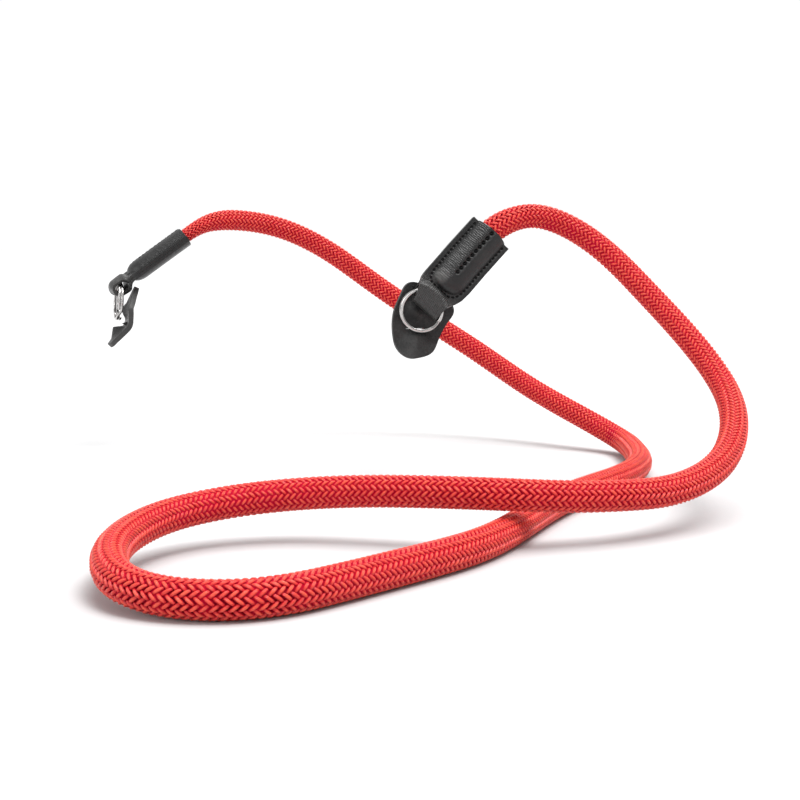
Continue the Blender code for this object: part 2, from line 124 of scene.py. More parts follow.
class NodeBoard:
    """The node tree of one material."""

    def __init__(self, name: str) -> None:
        """Makes the material and keeps its Principled shader.

        Args:
            name: the name of the material.
        """
        self.material = bpy.data.materials.new(name)
        self.material.use_nodes = True
        self.tree = self.material.node_tree
        self.shader = self.tree.nodes["Principled BSDF"]

    @classmethod
    def of_world(cls, world: bpy.types.World) -> NodeBoard:
        """The board of a world's nodes, which has no material.

        Args:
            world: the world, with its nodes in use.

        Returns:
            The board.
        """
        board = cls.__new__(cls)
        board.material = None
        board.tree = world.node_tree
        board.shader = world.node_tree.nodes["Background"]
        return board

    def feed_background(self, strength: Socket) -> None:
        """Feeds the strength of a world's white background."""
        self.shader.inputs["Color"].default_value = (1.0, 1.0, 1.0, 1.0)
        self._feed(self.shader.inputs["Strength"], strength)

    def add(
        self,
        kind: str,
        settings: dict[str, object],
        sockets: dict[str | int, object],
        out: str | int = 0,
    ) -> Socket:
        """Adds a node.

        Args:
            kind: Blender's name for the type of node.
            settings: the node's own settings, such as a Math node's operation.
            sockets: the value or the link of each input, by name or by number.
            out: the output that is wanted.

        Returns:
            The output, wrapped.
        """
        node = self.tree.nodes.new(kind)
        for name, value in settings.items():
            setattr(node, name, value)
        for name, value in sockets.items():
            self._feed(node.inputs[name], value)
        return Socket(self, node.outputs[out])

    def _feed(self, target: bpy.types.NodeSocket, value: object) -> None:
        """Links a wrapped socket to an input, or sets the input's own value.

        Args:
            target: the input.
            value: the wrapped socket or the value.
        """
        if isinstance(value, Socket):
            self.tree.links.new(value.socket, target)
        else:
            target.default_value = value

    def mix(self, share: Socket | float, first: Socket | Colour, second: Socket | Colour) -> Socket:
        """Mixes two colours by a share."""
        return self.add("ShaderNodeMix", {"data_type": "RGBA"}, {0: share, 6: first, 7: second}, 2)

    def place(self) -> Socket:
        """Where a point of the piece is, in its own space."""
        return self.add("ShaderNodeTexCoord", {}, {}, "Object")

    def attribute(self, name: str, out: str) -> Socket:
        """What the piece keeps under a name for each vertex, as a "Fac" or a "Vector"."""
        return self.add("ShaderNodeAttribute", {"attribute_name": name}, {}, out)

    def split(self, vector: Socket) -> tuple[Socket, ...]:
        """The three numbers of a vector."""
        outs = self.add("ShaderNodeSeparateXYZ", {}, {0: vector}).socket.node.outputs
        return tuple(Socket(self, out) for out in outs)

    def noise(self, at: Socket, scale: float, detail: float = 3.0, rough: float = 0.5) -> Socket:
        """Cloudy noise.

        Args:
            at: the place where it is read.
            scale: how many clouds there are to a metre, or to one step of the place.
            detail: how many finer clouds are added.
            rough: how strong the finer clouds are.

        Returns:
            The noise, from 0 to 1.
        """
        fed = {"Vector": at, "Scale": scale, "Detail": detail, "Roughness": rough}
        return self.add("ShaderNodeTexNoise", {}, fed)

    def bump(self, height: Socket, depth: float, below: Socket | None = None) -> Socket:
        """Turns a height to a normal.

        Args:
            height: the height, as a share of the depth.
            depth: the depth, in metres.
            below: a normal that this one adds to.

        Returns:
            The normal.
        """
        fed: dict[str | int, object] = {"Height": height, "Distance": depth, "Strength": 1.0}
        if below is not None:
            fed["Normal"] = below
        return self.add("ShaderNodeBump", {}, fed)

    def dull(self, share: Socket, colour: Colour) -> None:
        """Lays a colour that does not shine over the shader.

        Args:
            share: how much of the shader it hides, from 0 to 1.
            colour: the colour.
        """
        matte = self.add("ShaderNodeBsdfDiffuse", {}, {"Color": colour})
        shine = Socket(self, self.shader.outputs[0])
        both = self.add("ShaderNodeMixShader", {}, {0: share, 1: shine, 2: matte})
        self._feed(self.tree.nodes["Material Output"].inputs["Surface"], both)

    def finish(self, **sockets: object) -> bpy.types.Material:
        """Feeds the shader's sockets, underscores standing for spaces, and gives the material."""
        for name, value in sockets.items():
            self._feed(self.shader.inputs[name.replace("_", " ")], value)
        return self.material


# ---------------------------------------------------------------------------------------------
# Finishes
# ---------------------------------------------------------------------------------------------


@dataclass(frozen=True)
class BraidFinish:
    """Red yarn, with painted shade of deep crimson on the flanks and ends of its floats and on its
    core, and a painted orange-red highlight on their crowns.
    """

    heart: Colour = (0.40, 0.002, 0.022, 1.0)
    hollow_shade: Colour = (0.36, 0.002, 0.020, 1.0)
    body: Colour = (0.64, 0.009, 0.022, 1.0)
    crown_highlight: Colour = (0.88, 0.125, 0.060, 1.0)
    filament_width: float = 0.16 * MM
    filament_depth: float = 0.05 * MM
    filament_wander: float = 2.4
    float_half_width: float = FLOAT_HALF_WIDTH
    fuzz_scale: float = 900.0
    wander_scale: float = 2600.0
    core_scale: float = 1400.0
    core_depth: float = 0.08 * MM

    def make(self) -> bpy.types.Material:
        """Makes the finish of the yarn floats, which carry their own lie and tone.

        Returns:
            The material.
        """
        board = NodeBoard("braid_yarn")
        along, across, tone = board.split(board.attribute("lie", "Vector"))
        height = board.attribute("height", "Fac")
        place = board.place()
        fuzz = board.noise(place, self.fuzz_scale, 2.0)
        wander = (board.noise(place, self.wander_scale, 2.0) - 0.5) * self.filament_wander
        filaments = across * (2.0 * math.pi * MM / self.filament_width)
        ridge = (filaments + wander + along * 0.5).sine() * 0.5 + 0.5
        # The low ends and flanks of each float are painted darker as shade, and its crown paler as a
        # highlight, by the float's own height and width.
        flank = across * across * (MM / self.float_half_width) ** 2
        lit = (height - flank * 0.8 + 0.42 + (fuzz - 0.5) * 0.3).held()
        colour = board.mix(lit, self.hollow_shade, self.body)
        top = ((height * 2.2 - 1.05).held() * (tone * 0.5 + 0.45) * (ridge * 0.35 + 0.65)).held()
        return board.finish(
            Base_Color=board.mix(top, colour, self.crown_highlight),
            Roughness=0.40 - ridge * 0.10,
            Normal=board.bump(ridge, self.filament_depth),
            Specular_IOR_Level=0.4,
        )

    def make_core(self) -> bpy.types.Material:
        """Makes the finish of the core, seen only between the floats.

        Returns:
            The material.
        """
        board = NodeBoard("braid_core")
        cloud = board.noise(board.place(), self.core_scale, 4.0)
        # The core's deep crimson is painted shade for the gaps between the floats.
        return board.finish(
            Base_Color=board.mix(cloud, self.heart, self.hollow_shade),
            Roughness=0.8 + cloud * 0.15,
            Normal=board.bump(cloud, self.core_depth),
            Specular_IOR_Level=0.1,
        )


@dataclass(frozen=True)
class LeatherFinish:
    """Black leather with a fine pebbled grain, some pores and a soft worn sheen.

    Its lined form also has ribs, wrinkles, a painted highlight on the toe and the tab, and painted
    shade in its stitch holes, laid by the strip's own distances in mm, which the piece keeps as
    "lay" and "sunk".
    """

    name: str
    deep: Colour = (0.0030, 0.0030, 0.0032, 1.0)
    worn: Colour = (0.014, 0.0137, 0.0134, 1.0)
    # A paler colour, painted on the toe and the tab as a highlight.
    painted_highlight: Colour = (0.085, 0.083, 0.080, 1.0)
    # Near black, painted as shade in the stitch holes and furrows.
    painted_hole_shade: Colour = (0.0015, 0.0015, 0.0015, 1.0)
    grain: float = 0.42 * MM
    grain_depth: float = 0.045 * MM
    crease_depth: float = 0.26 * MM
    pull_scale: float = 260.0
    pore_scale: float = 5200.0
    cloud_scale: float = 95.0
    crease_scale: float = 620.0
    roughness: float = 0.30
    coat: float = 0.2
    rib_pitch: float = 0.66
    rib_end: float = 12.5
    crease_pitch: float = 0.74
    line_depth: float = 0.07 * MM
    # Where the painted highlight lies: its middle on the toe, across and along, and its end on the tab,
    # in mm.
    highlight_toe: tuple[float, float] = (-3.3, 13.6)
    highlight_tab_end: float = 11.0
    lined: bool = True

    def _painted_highlight(self, board: NodeBoard) -> Socket:
        """How much painted highlight lies on the toe and the tab.

        Args:
            board: the nodes of the material.

        Returns:
            The share of the painted highlight's colour, from 0 to 1.
        """
        lay = board.attribute("lay", "Vector")
        across, along, _ = board.split(lay)
        aside, ahead = (across - self.highlight_toe[0]) * 0.36, (along - self.highlight_toe[1]) * 0.30
        toe = (1.0 - aside * aside - ahead * ahead).held()
        tab = ((self.highlight_tab_end - along) * 0.5).held() * 0.30
        return ((toe * 0.85 + tab) * (board.noise(lay, 0.9) * 1.5 + 0.15)).held()

    def _lines(self, board: NodeBoard) -> Socket:
        """Fine ribs along the tab and fine wrinkles across the bulge.

        Args:
            board: the nodes of the material.

        Returns:
            Their height.
        """
        lay = board.attribute("lay", "Vector")
        across, along, creased = board.split(lay)
        stray = (board.noise(lay, 0.55, 2.0) - 0.5) * 7.0
        turn = 2.0 * math.pi
        ribbed = ((self.rib_end - along) * 0.4).held()
        ribs = (across * (turn / self.rib_pitch) + stray).sine() * ribbed
        folds = (along * (turn / self.crease_pitch) + stray * 1.4 + across * 0.8).sine() * creased
        return ribs * 1.2 + folds * 1.3

    def make(self) -> bpy.types.Material:
        """Makes the finish.

        Returns:
            The material.
        """
        board = NodeBoard(self.name)
        place = board.place()
        pull = board.noise(place, self.pull_scale, 2.0)
        fed = {"Vector": place, "Scale": 1.0 / self.grain, "Smoothness": 0.5}
        pebble = board.add("ShaderNodeTexVoronoi", {"feature": "SMOOTH_F1"}, fed, "Distance")
        pores = board.noise(place, self.pore_scale, 2.0, 0.6)
        cloud = board.noise(place, self.cloud_scale, 4.0, 0.6)
        crease = board.noise(place, self.crease_scale, 5.0, 0.7)
        sunk = board.attribute("sunk", "Fac")
        relief = 1.0 - pebble * 1.1 + pores * 0.22 + pull * 0.25
        fine = board.bump(relief, self.grain_depth)
        normal = board.bump(crease, self.crease_depth, fine)
        if self.lined:
            normal = board.bump(self._lines(board), self.line_depth, normal)
        wear = (cloud * 1.9 - 0.62 - pebble * 0.35).held()
        colour = board.mix(wear, self.deep, self.worn)
        if self.lined:
            # The toe and the tab are painted paler as a highlight.
            colour = board.mix(self._painted_highlight(board), colour, self.painted_highlight)
        # The stitch holes and furrows are painted near black as shade.
        colour = board.mix(sunk.held(), colour, self.painted_hole_shade)
        rough = self.roughness + (crease - 0.5) * 0.22 + pebble * 0.16 - wear * 0.05 + sunk * 0.5
        # Painted shade: a matte near black laid over the deepest holes.
        if self.lined:
            board.dull((sunk * 1.15 - 0.12).held(), self.painted_hole_shade)
        return board.finish(
            Base_Color=colour,
            Roughness=rough.held(),
            Normal=normal,
            Specular_IOR_Level=0.42,
            Coat_Weight=self.coat,
            Coat_Roughness=0.3,
        )


@dataclass(frozen=True)
class CutEdgeFinish:
    """The cut edge of the leather: burnished, a little lighter and fibrous."""

    dark: Colour = (0.009, 0.009, 0.0095, 1.0)
    light: Colour = (0.075, 0.073, 0.071, 1.0)
    fibre_scale: float = 2400.0
    fibre_depth: float = 0.12 * MM
    cloud_scale: float = 300.0

    def make(self) -> bpy.types.Material:
        """Makes the finish.

        Returns:
            The material.
        """
        board = NodeBoard("leather_cut_edge")
        place = board.place()
        fibre = board.noise(place, self.fibre_scale, 5.0, 0.7)
        cloud = board.noise(place, self.cloud_scale)
        pale = (fibre * 0.9 + cloud * 0.7 - 0.45).held()
        return board.finish(
            Base_Color=board.mix(pale, self.dark, self.light),
            Roughness=0.5 + fibre * 0.25,
            Normal=board.bump(fibre, self.fibre_depth),
        )


@dataclass(frozen=True)
class ThreadFinish:
    """Black waxed sewing thread, twisted of fine plies."""

    dark: Colour = (0.002, 0.002, 0.002, 1.0)
    light: Colour = (0.009, 0.009, 0.010, 1.0)
    ply: float = 0.28 * MM
    ply_depth: float = 0.05 * MM
    fuzz_scale: float = 3000.0

    def make(self) -> bpy.types.Material:
        """Makes the finish.

        Returns:
            The material.
        """
        board = NodeBoard("waxed_thread")
        place = board.place()
        right, back, up = board.split(place)
        twist = ((right + back * 0.6 + up) * (2.0 * math.pi / self.ply)).sine() * 0.5 + 0.5
        fuzz = board.noise(place, self.fuzz_scale)
        pale = (twist * 0.6 + fuzz * 0.4).held()
        return board.finish(
            Base_Color=board.mix(pale, self.dark, self.light),
            Roughness=0.42 + fuzz * 0.2,
            Normal=board.bump(twist * 0.7 + fuzz * 0.3, self.ply_depth),
            Specular_IOR_Level=0.15,
        )


@dataclass(frozen=True)
class SteelFinish:
    """Polished steel with faint handling marks."""

    bright: Colour = (0.58, 0.565, 0.555, 1.0)
    dull: Colour = (0.42, 0.405, 0.40, 1.0)
    smear_scale: float = 320.0
    hair_scale: float = 6500.0
    mark_depth: float = 0.012 * MM

    def make(self) -> bpy.types.Material:
        """Makes the finish.

        Returns:
            The material.
        """
        board = NodeBoard("polished_steel")
        place = board.place()
        smear = board.noise(place, self.smear_scale, 4.0, 0.6)
        hair = board.noise(place, self.hair_scale, 3.0, 0.7)
        marks = (smear * 1.7 - 0.55).held()
        return board.finish(
            Base_Color=board.mix(marks, self.bright, self.dull),
            Metallic=1.0,
            Roughness=0.09 + marks * 0.10 + hair * 0.06,
            Normal=board.bump(hair * 0.5 + smear * 0.5, self.mark_depth),
        )


@dataclass(frozen=True)
class FloorFinish:
    """A matte white sweep."""

    light: Colour = (0.55, 0.55, 0.55, 1.0)
    shade: Colour = (0.535, 0.535, 0.54, 1.0)
    cloud_scale: float = 1.3

    def make(self) -> bpy.types.Material:
        """Makes the finish.

        Returns:
            The material.
        """
        board = NodeBoard("white_sweep")
        cloud = board.noise(board.place(), self.cloud_scale)
        return board.finish(
            Base_Color=board.mix(cloud, self.light, self.shade),
            Roughness=0.7 + cloud * 0.1,
            Specular_IOR_Level=0.2,
        )


# ---------------------------------------------------------------------------------------------
# Tools of the bench
# ---------------------------------------------------------------------------------------------


def deselect() -> None:
    """Leaves object mode with nothing selected."""
    if bpy.context.mode != "OBJECT":
        bpy.ops.object.mode_set(mode="OBJECT")
    bpy.ops.object.select_all(action="DESELECT")


def pick(obj: bpy.types.Object) -> None:
    """Makes one object the selected and active one."""
    deselect()
    obj.select_set(True)
    bpy.context.view_layer.objects.active = obj


def named(name: str) -> bpy.types.Object:
    """Names the object that an operator has just made.

    Args:
        name: the name, which its mesh gets as well.

    Returns:
        The object.
    """
    obj = bpy.context.active_object
    obj.name = name
    obj.data.name = name
    return obj


def points_of(obj: bpy.types.Object) -> np.ndarray:
    """The places of an object's vertices, one row each."""
    flat = np.empty(len(obj.data.vertices) * 3)
    obj.data.vertices.foreach_get("co", flat)
    return flat.reshape(-1, 3)


def set_points(obj: bpy.types.Object, points: np.ndarray) -> None:
    """Puts an object's vertices at new places."""
    obj.data.vertices.foreach_set("co", np.ascontiguousarray(points, dtype=np.float64).ravel())
    obj.data.update()


def keep_values(mesh: bpy.types.Mesh, name: str, values: np.ndarray) -> None:
    """Keeps numbers with a mesh's vertices, for a finish or a later step to read.

    Args:
        mesh: the mesh.
        name: the name that they are kept under.
        values: one number for each vertex, or one row of three.
    """
    kind, field = ("FLOAT", "value") if values.ndim == 1 else ("FLOAT_VECTOR", "vector")
    mesh.attributes.new(name, kind, "POINT").data.foreach_set(field, values.ravel())


def thicken(obj: bpy.types.Object, thickness: float, offset: float) -> None:
    """Gives a sheet of leather its thickness, with the second material on its cut edge.

    Args:
        obj: the sheet.
        thickness: the thickness of the leather.
        offset: 0 to grow it to both sides alike, or -1 to grow it to the back alone.
    """
    leather = obj.modifiers.new("leather", "SOLIDIFY")
    leather.thickness = thickness
    leather.offset = offset
    leather.use_quality_normals = True
    leather.material_offset_rim = 1


def round_edges(obj: bpy.types.Object, width: float, segments: int, degrees: float) -> None:
    """Rounds the edges of a piece with a bevel.

    Args:
        obj: the piece.
        width: the width of the bevel.
        segments: how many faces it has across.
        degrees: how sharp an edge has to be.
    """
    bevel = obj.modifiers.new("edges", "BEVEL")
    bevel.width = width
    bevel.segments = segments
    bevel.limit_method = "ANGLE"
    bevel.angle_limit = math.radians(degrees)


def apply_all(obj: bpy.types.Object) -> None:
    """Applies every modifier of an object."""
    pick(obj)
    for modifier in list(obj.modifiers):
        bpy.ops.object.modifier_apply(modifier=modifier.name)


def smooth(obj: bpy.types.Object, degrees: float) -> None:
    """Shades an object smooth but for its sharp edges."""
    pick(obj)
    bpy.ops.object.shade_smooth_by_angle(angle=math.radians(degrees))


def report(obj: bpy.types.Object) -> None:
    """Logs a finished piece."""
    LOG.info("%s: %d faces", obj.name, len(obj.data.polygons))


def settle(obj: bpy.types.Object, placement: Matrix) -> None:
    """Puts a piece in its place with its own object at the origin."""
    obj.data.transform(placement)
    obj.matrix_world = Matrix.Identity(4)
    obj.data.update()


def clean_normals(obj: bpy.types.Object, gap: float = 0.001 * MM) -> None:
    """Merges vertices that lie together, and turns all faces outwards.

    Args:
        obj: the piece.
        gap: how far apart two vertices are at most to be merged.
    """
    pick(obj)
    bpy.ops.object.mode_set(mode="EDIT")
    bpy.ops.mesh.select_all(action="SELECT")
    bpy.ops.mesh.remove_doubles(threshold=gap)
    bpy.ops.mesh.normals_make_consistent(inside=False)
    bpy.ops.object.mode_set(mode="OBJECT")


def ease(value: np.ndarray | float) -> np.ndarray | float:
    """Rises smoothly from 0 to 1."""
    held = np.clip(value, 0.0, 1.0)
    return held * held * (3.0 - 2.0 * held)


def table(rows: tuple[tuple[float, float], ...], value: np.ndarray | float) -> np.ndarray | float:
    """Reads a two-column table at a value, in straight lines between its rows."""
    columns = np.array(rows)
    return np.interp(value, columns[:, 0], columns[:, 1])


def frame_of(origin: Point, along: Point, across: Point) -> Matrix:
    """A placement whose X is the width, Y the length and Z the outer face.

    Args:
        origin: where its origin lies, in mm.
        along: the way of Y.
        across: the way of X, which is squared to Y.

    Returns:
        The placement.
    """
    y_axis = Vector(along).normalized()
    x_axis = Vector(across)
    x_axis = (x_axis - x_axis.dot(y_axis) * y_axis).normalized()
    z_axis = x_axis.cross(y_axis)
    turned = Matrix((x_axis, y_axis, z_axis)).transposed().to_4x4()
    return Matrix.Translation(Vector(origin) * MM) @ turned


def facing(origin: Point, normal: Point) -> Matrix:
    """A placement whose Z is the normal and whose Y is as upright as it can be.

    Args:
        origin: where its origin lies, in mm.
        normal: the way of Z.

    Returns:
        The placement.
    """
    z_axis = Vector(normal).normalized()
    x_axis = Vector((0.0, 0.0, 1.0)).cross(z_axis).normalized()
    y_axis = z_axis.cross(x_axis)
    turned = Matrix((x_axis, y_axis, z_axis)).transposed().to_4x4()
    return Matrix.Translation(Vector(origin) * MM) @ turned


@dataclass
class SmoothLine:
    """The smooth curve through a list of places: a natural cubic spline by its chords."""

    stops: np.ndarray
    closed: bool = False
    readings: int = 2400
    lap: int = 3

    def __post_init__(self) -> None:
        """Solves the curve's bends. A closed one is lapped over its own start and end."""
        if self.closed:
            self.stops = np.vstack([self.stops[-self.lap:], self.stops, self.stops[:self.lap]])
        self.chords = np.linalg.norm(np.diff(self.stops, axis=0), axis=1)
        self.knots = np.concatenate([[0.0], np.cumsum(self.chords)])
        count = len(self.stops)
        system = np.eye(count)
        slopes = np.zeros_like(self.stops)
        for row in range(1, count - 1):
            before, after = self.chords[row - 1], self.chords[row]
            system[row, row - 1:row + 2] = before, 2.0 * (before + after), after
            rise = (self.stops[row + 1] - self.stops[row]) / after
            slopes[row] = 6.0 * (rise - (self.stops[row] - self.stops[row - 1]) / before)
        self.bends = np.linalg.solve(system, slopes)
        self.first = self.knots[self.lap] if self.closed else 0.0
        self.last = self.knots[-self.lap] if self.closed else self.knots[-1]

    def read(self, at: np.ndarray) -> np.ndarray:
        """Reads the curve.

        Args:
            at: distances along the chords.

        Returns:
            The places there, one row each.
        """
        held = np.clip(np.searchsorted(self.knots, at) - 1, 0, len(self.stops) - 2)
        width = self.chords[held][:, None]
        right = (at - self.knots[held])[:, None] / width
        left = 1.0 - right
        curve = left * self.stops[held] + right * self.stops[held + 1]
        sag = (left ** 3 - left) * self.bends[held] + (right ** 3 - right) * self.bends[held + 1]
        return curve + sag * width * width / 6.0

    def even(self, count: int) -> np.ndarray:
        """Walks the curve in equal steps.

        Args:
            count: how many places there are, both ends among them.

        Returns:
            The places, one row each.
        """
        fine = self.read(np.linspace(self.first, self.last, self.readings))
        steps = np.linalg.norm(np.diff(fine, axis=0), axis=1)
        travelled = np.concatenate([[0.0], np.cumsum(steps)])
        wanted = np.linspace(0.0, travelled[-1], count)
        return np.array([np.interp(wanted, travelled, column) for column in fine.T]).T


# ---------------------------------------------------------------------------------------------
# The leather end pieces
# ---------------------------------------------------------------------------------------------


@dataclass
class LeatherEnd:
    """A leather strip folded round a ring and sewn shut over the end of the rope.

    In its own space X is its width, Y runs from the fold to the mouth, and Z is its outer face.
    Its fold is a place in mm, and along and across are the ways of Y and X. The tables of its
    widths and its sway are in mm too.
    """

    side: Side
    fold: Point
    along: Point
    across: Point
    cup: float
    gather: float
    leather: float = 1.3 * MM
    length: float = 38.6 * MM
    lip_reach: float = 0.6 * MM
    lip_start: float = 33.0 * MM
    bulge_half_width: float = 6.3 * MM
    bulge_half_depth: float = 4.3 * MM
    bulge_blend: float = 0.5 * MM
    toe_centre: float = 17.8 * MM
    toe_reach: float = 7.4 * MM
    toe_squareness: float = 3.4
    groove_depth: float = 0.42 * MM
    groove_half_width: float = 0.9 * MM
    groove_start: float = 17.5 * MM
    groove_fade: float = 2.0 * MM
    loop_half_gap: float = 1.85 * MM
    loop_half_width: float = 6.4 * MM
    straight_end: float = 7.3 * MM
    tip: float = 10.4 * MM
    edge_pull: float = 1.9 * MM
    cup_start: float = 5.0 * MM
    cup_end: float = 10.5 * MM
    seam_half_width: float = 6.85 * MM
    seam_end: float = 0.9 * MM
    seam_toe: float = 8.3 * MM
    seam_squareness: float = 3.6
    seam_pitch: float = 1.62 * MM
    seam_furrow: float = 0.50 * MM
    seam_furrow_width: float = 0.40 * MM
    seam_furrow_reach: float = 0.35
    seam_lift: float = -0.02 * MM
    seam_sight: float = 0.2 * MM
    seam_readings: tuple[int, int] = (60, 181)
    groove_pitch: float = 2.1 * MM
    groove_slant: float = math.radians(38.0)
    groove_ends: tuple[float, float] = (0.9 * MM, 0.6 * MM)
    groove_lift: float = 0.10 * MM
    pit_depth: float = 0.55 * MM
    pit_half_length: float = 0.84 * MM
    pit_half_width: float = 0.70 * MM
    crease_middle: float = -2.6 * MM
    crease_half_width: float = 2.4 * MM
    crease_start: float = 11.0 * MM
    crease_fade: float = 4.0 * MM
    wrinkle_depth: float = 0.055 * MM
    wrinkle_pitch: float = 1.9 * MM
    wrinkle_wander: tuple[float, float] = (0.8 * MM, 0.5 * MM)
    wrinkle_bends: tuple[float, float] = (2.1 * MM, 2.7 * MM)
    wrinkle_rest: float = 0.16
    second_wrinkle: tuple[float, float, float] = (0.6, 0.61, 1.3)
    stitch_sight: float = 0.3 * MM
    edge_round: float = 0.22 * MM
    columns: int = 96
    rows: int = 330
    widths: tuple[tuple[float, float], ...] = (
        (0.0, 5.8),
        (1.5, 6.0),
        (3.0, 6.4),
        (6.0, 7.0),
        (9.0, 8.1),
        (12.0, 8.7),
        (16.0, 8.85),
        (39.0, 8.8),
    )
    sway: tuple[tuple[float, float], ...] = (
        (0.0, 0.1),
        (1.5, 0.0),
        (3.0, -0.4),
        (6.0, -0.9),
        (9.0, -0.6),
        (12.0, -0.2),
        (16.0, 0.0),
        (25.0, 0.0),
        (39.0, 0.3),
    )

    @property
    def placement(self) -> Matrix:
        """Where the end piece lies in the row frame."""
        return frame_of(self.fold, self.along, self.across)

    @property
    def fold_radius(self) -> float:
        """The radius of the fold, at the middle of the leather."""
        return self.loop_half_gap + 0.5 * self.leather

    @property
    def fold_centre(self) -> float:
        """How far from the fold's outside its centre lies."""
        return self.loop_half_gap + self.leather

    def half_width(self, along: np.ndarray) -> np.ndarray:
        """Half the width of the strip."""
        fade = 1.0 - ease((along - self.cup_start) / (self.cup_end - self.cup_start))
        return table(self.widths, along / MM) * MM * (1.0 - self.gather * fade)

    def middle(self, along: np.ndarray) -> np.ndarray:
        """How far the strip's middle line lies to one side."""
        return table(self.sway, along / MM) * MM

    def edge_share(self, across: np.ndarray) -> np.ndarray:
        """How near a place is to the loop's edges, from 0 to 1."""
        return np.minimum(1.0, (across / self.loop_half_width) ** 2)

    def offset(self, across: np.ndarray, along: np.ndarray) -> np.ndarray:
        """How far the middle of the leather lies from the mid plane, past the fold.

        Args:
            across: the distance from the middle line.
            along: the distance from the fold.

        Returns:
            The offset, before the loop's edges are bent down.
        """
        pull = self.edge_pull * self.edge_share(across)
        gap = self.loop_half_gap * ease((self.tip - pull - along) / (self.tip - self.straight_end))
        flat = 0.5 * self.leather + gap
        toe = np.maximum(0.0, self.toe_centre - along) / self.toe_reach
        inside = 1.0 - (across / self.bulge_half_width) ** 2 - toe ** self.toe_squareness
        bulge = self.bulge_half_depth * np.sqrt(np.maximum(0.0, inside)) - 0.5 * self.leather
        spread = np.sqrt((flat - bulge) ** 2 + self.bulge_blend ** 2)
        return 0.5 * (flat + bulge + spread)

    def seam_line(self) -> np.ndarray:
        """The way of the stitched seam: down one edge, round the toe and up the other.

        Returns:
            Places on the flat strip, one row each: across, along.
        """
        side_readings, toe_readings = self.seam_readings
        turns = np.linspace(0.0, math.pi, toe_readings)
        power = 2.0 / self.seam_squareness
        right = np.sign(np.cos(turns)) * np.abs(np.cos(turns)) ** power * self.seam_half_width
        up = self.toe_centre - np.sin(turns) ** power * self.seam_toe
        curve = np.column_stack([right, up])
        mouth = self.length - self.seam_end
        straight = np.linspace(mouth, self.toe_centre, side_readings)[:-1]
        first = np.column_stack([np.full_like(straight, self.seam_half_width), straight])
        last = first[::-1] * np.array([-1.0, 1.0])
        return np.vstack([first, curve, last])

    def seam_stitches(self) -> np.ndarray:
        """Spaces the stitches evenly along the seam.

        Returns:
            One row for each stitch: its middle, across and along, and the cosines of its way.
        """
        line = self.seam_line()
        steps = np.linalg.norm(np.diff(line, axis=0), axis=1)
        travelled = np.concatenate([[0.0], np.cumsum(steps)])
        count = int(travelled[-1] / self.seam_pitch)
        wanted = (np.arange(count) + 0.5) * travelled[-1] / count
        later = wanted + self.seam_sight
        middles = np.column_stack([np.interp(wanted, travelled, column) for column in line.T])
        ahead = np.column_stack([np.interp(later, travelled, column) for column in line.T])
        ways = ahead - middles
        return np.hstack([middles, ways / np.linalg.norm(ways, axis=1)[:, None]])

    def groove_stitches(self) -> np.ndarray:
        """Spaces the slanted stitches evenly along the groove.

        Returns:
            One row for each stitch, as for the seam.
        """
        first, last = self.groove_start + self.groove_ends[0], self.length - self.groove_ends[1]
        stops = np.arange(first, last, self.groove_pitch)
        ways = np.tile([math.sin(self.groove_slant), math.cos(self.groove_slant)], (len(stops), 1))
        return np.hstack([np.column_stack([np.zeros_like(stops), stops]), ways])

    def furrow(self, across: np.ndarray, along: np.ndarray) -> np.ndarray:
        """The dents that the thread of the seam pulls in the leather.

        Args:
            across: the distance from the strip's own middle line.
            along: the distance from the fold.

        Returns:
            How much of the full dent there is, from 0 to 1.
        """
        deep = np.zeros_like(across)
        for spot in self.seam_stitches():
            right, up = across - spot[0], along - spot[1]
            ahead = right * spot[2] + up * spot[3]
            aside = right * spot[3] - up * spot[2]
            reach = (ahead / (self.seam_furrow_reach * self.seam_pitch)) ** 4
            reach += (aside / self.seam_furrow_width) ** 2
            deep = np.maximum(deep, np.exp(-reach))
        return deep

    def pits(self, across: np.ndarray, along: np.ndarray) -> np.ndarray:
        """The holes that the stitches of the groove are pulled into.

        Args:
            across: the distance from the strip's own middle line.
            along: the distance from the fold.

        Returns:
            How much of the full hole there is, from 0 to 1.
        """
        deep = np.zeros_like(across)
        for spot in self.groove_stitches():
            ahead = (along - spot[1]) / self.pit_half_length
            reach = ahead ** 2 + (across / self.pit_half_width) ** 2
            deep = np.maximum(deep, np.exp(-(reach ** 2)))
        return deep

    def sunk(self, across: np.ndarray, along: np.ndarray, outer: np.ndarray) -> np.ndarray:
        """Where the leather is drawn in by thread, from 0 to 1, which the finish paints dark as shade.
        """
        pits = np.where(outer, self.pits(across, along), 0.0)
        return np.maximum(self.furrow(across, along), pits)

    def creased(self, across: np.ndarray, along: np.ndarray) -> np.ndarray:
        """Where the leather is pressed in fine cross wrinkles over the rope, from 0 to 1."""
        patch = np.exp(-(((across - self.crease_middle) / self.crease_half_width) ** 2))
        return patch * ease((along - self.crease_start) / self.crease_fade)

    def relief(self, across: np.ndarray, along: np.ndarray, outer: np.ndarray) -> np.ndarray:
        """What the groove, the seam and the wrinkles take from the leather's outside.

        Args:
            across: the distance from the strip's own middle line.
            along: the distance from the fold.
            outer: whether the place is on the outer layer, which alone has the groove.

        Returns:
            How deep the outside lies there.
        """
        start = ease((along - self.groove_start) / self.groove_fade)
        groove = self.groove_depth * start * np.exp(-((across / self.groove_half_width) ** 2))
        holes = self.pit_depth * self.pits(across, along)
        dents = self.seam_furrow * self.furrow(across, along)
        taken = np.where(outer, groove + holes, 0.0) + dents
        wander = self.wrinkle_wander[0] * np.sin(across / self.wrinkle_bends[0])
        wander += self.wrinkle_wander[1] * np.sin(along / self.wrinkle_bends[1])
        run = along + wander
        turn = 2.0 * math.pi * run / self.wrinkle_pitch
        height, pitch, shift = self.second_wrinkle
        wave = np.sin(turn) + height * np.sin(turn / pitch + shift)
        return taken + self.wrinkle_depth * wave * (self.creased(across, along) + self.wrinkle_rest)

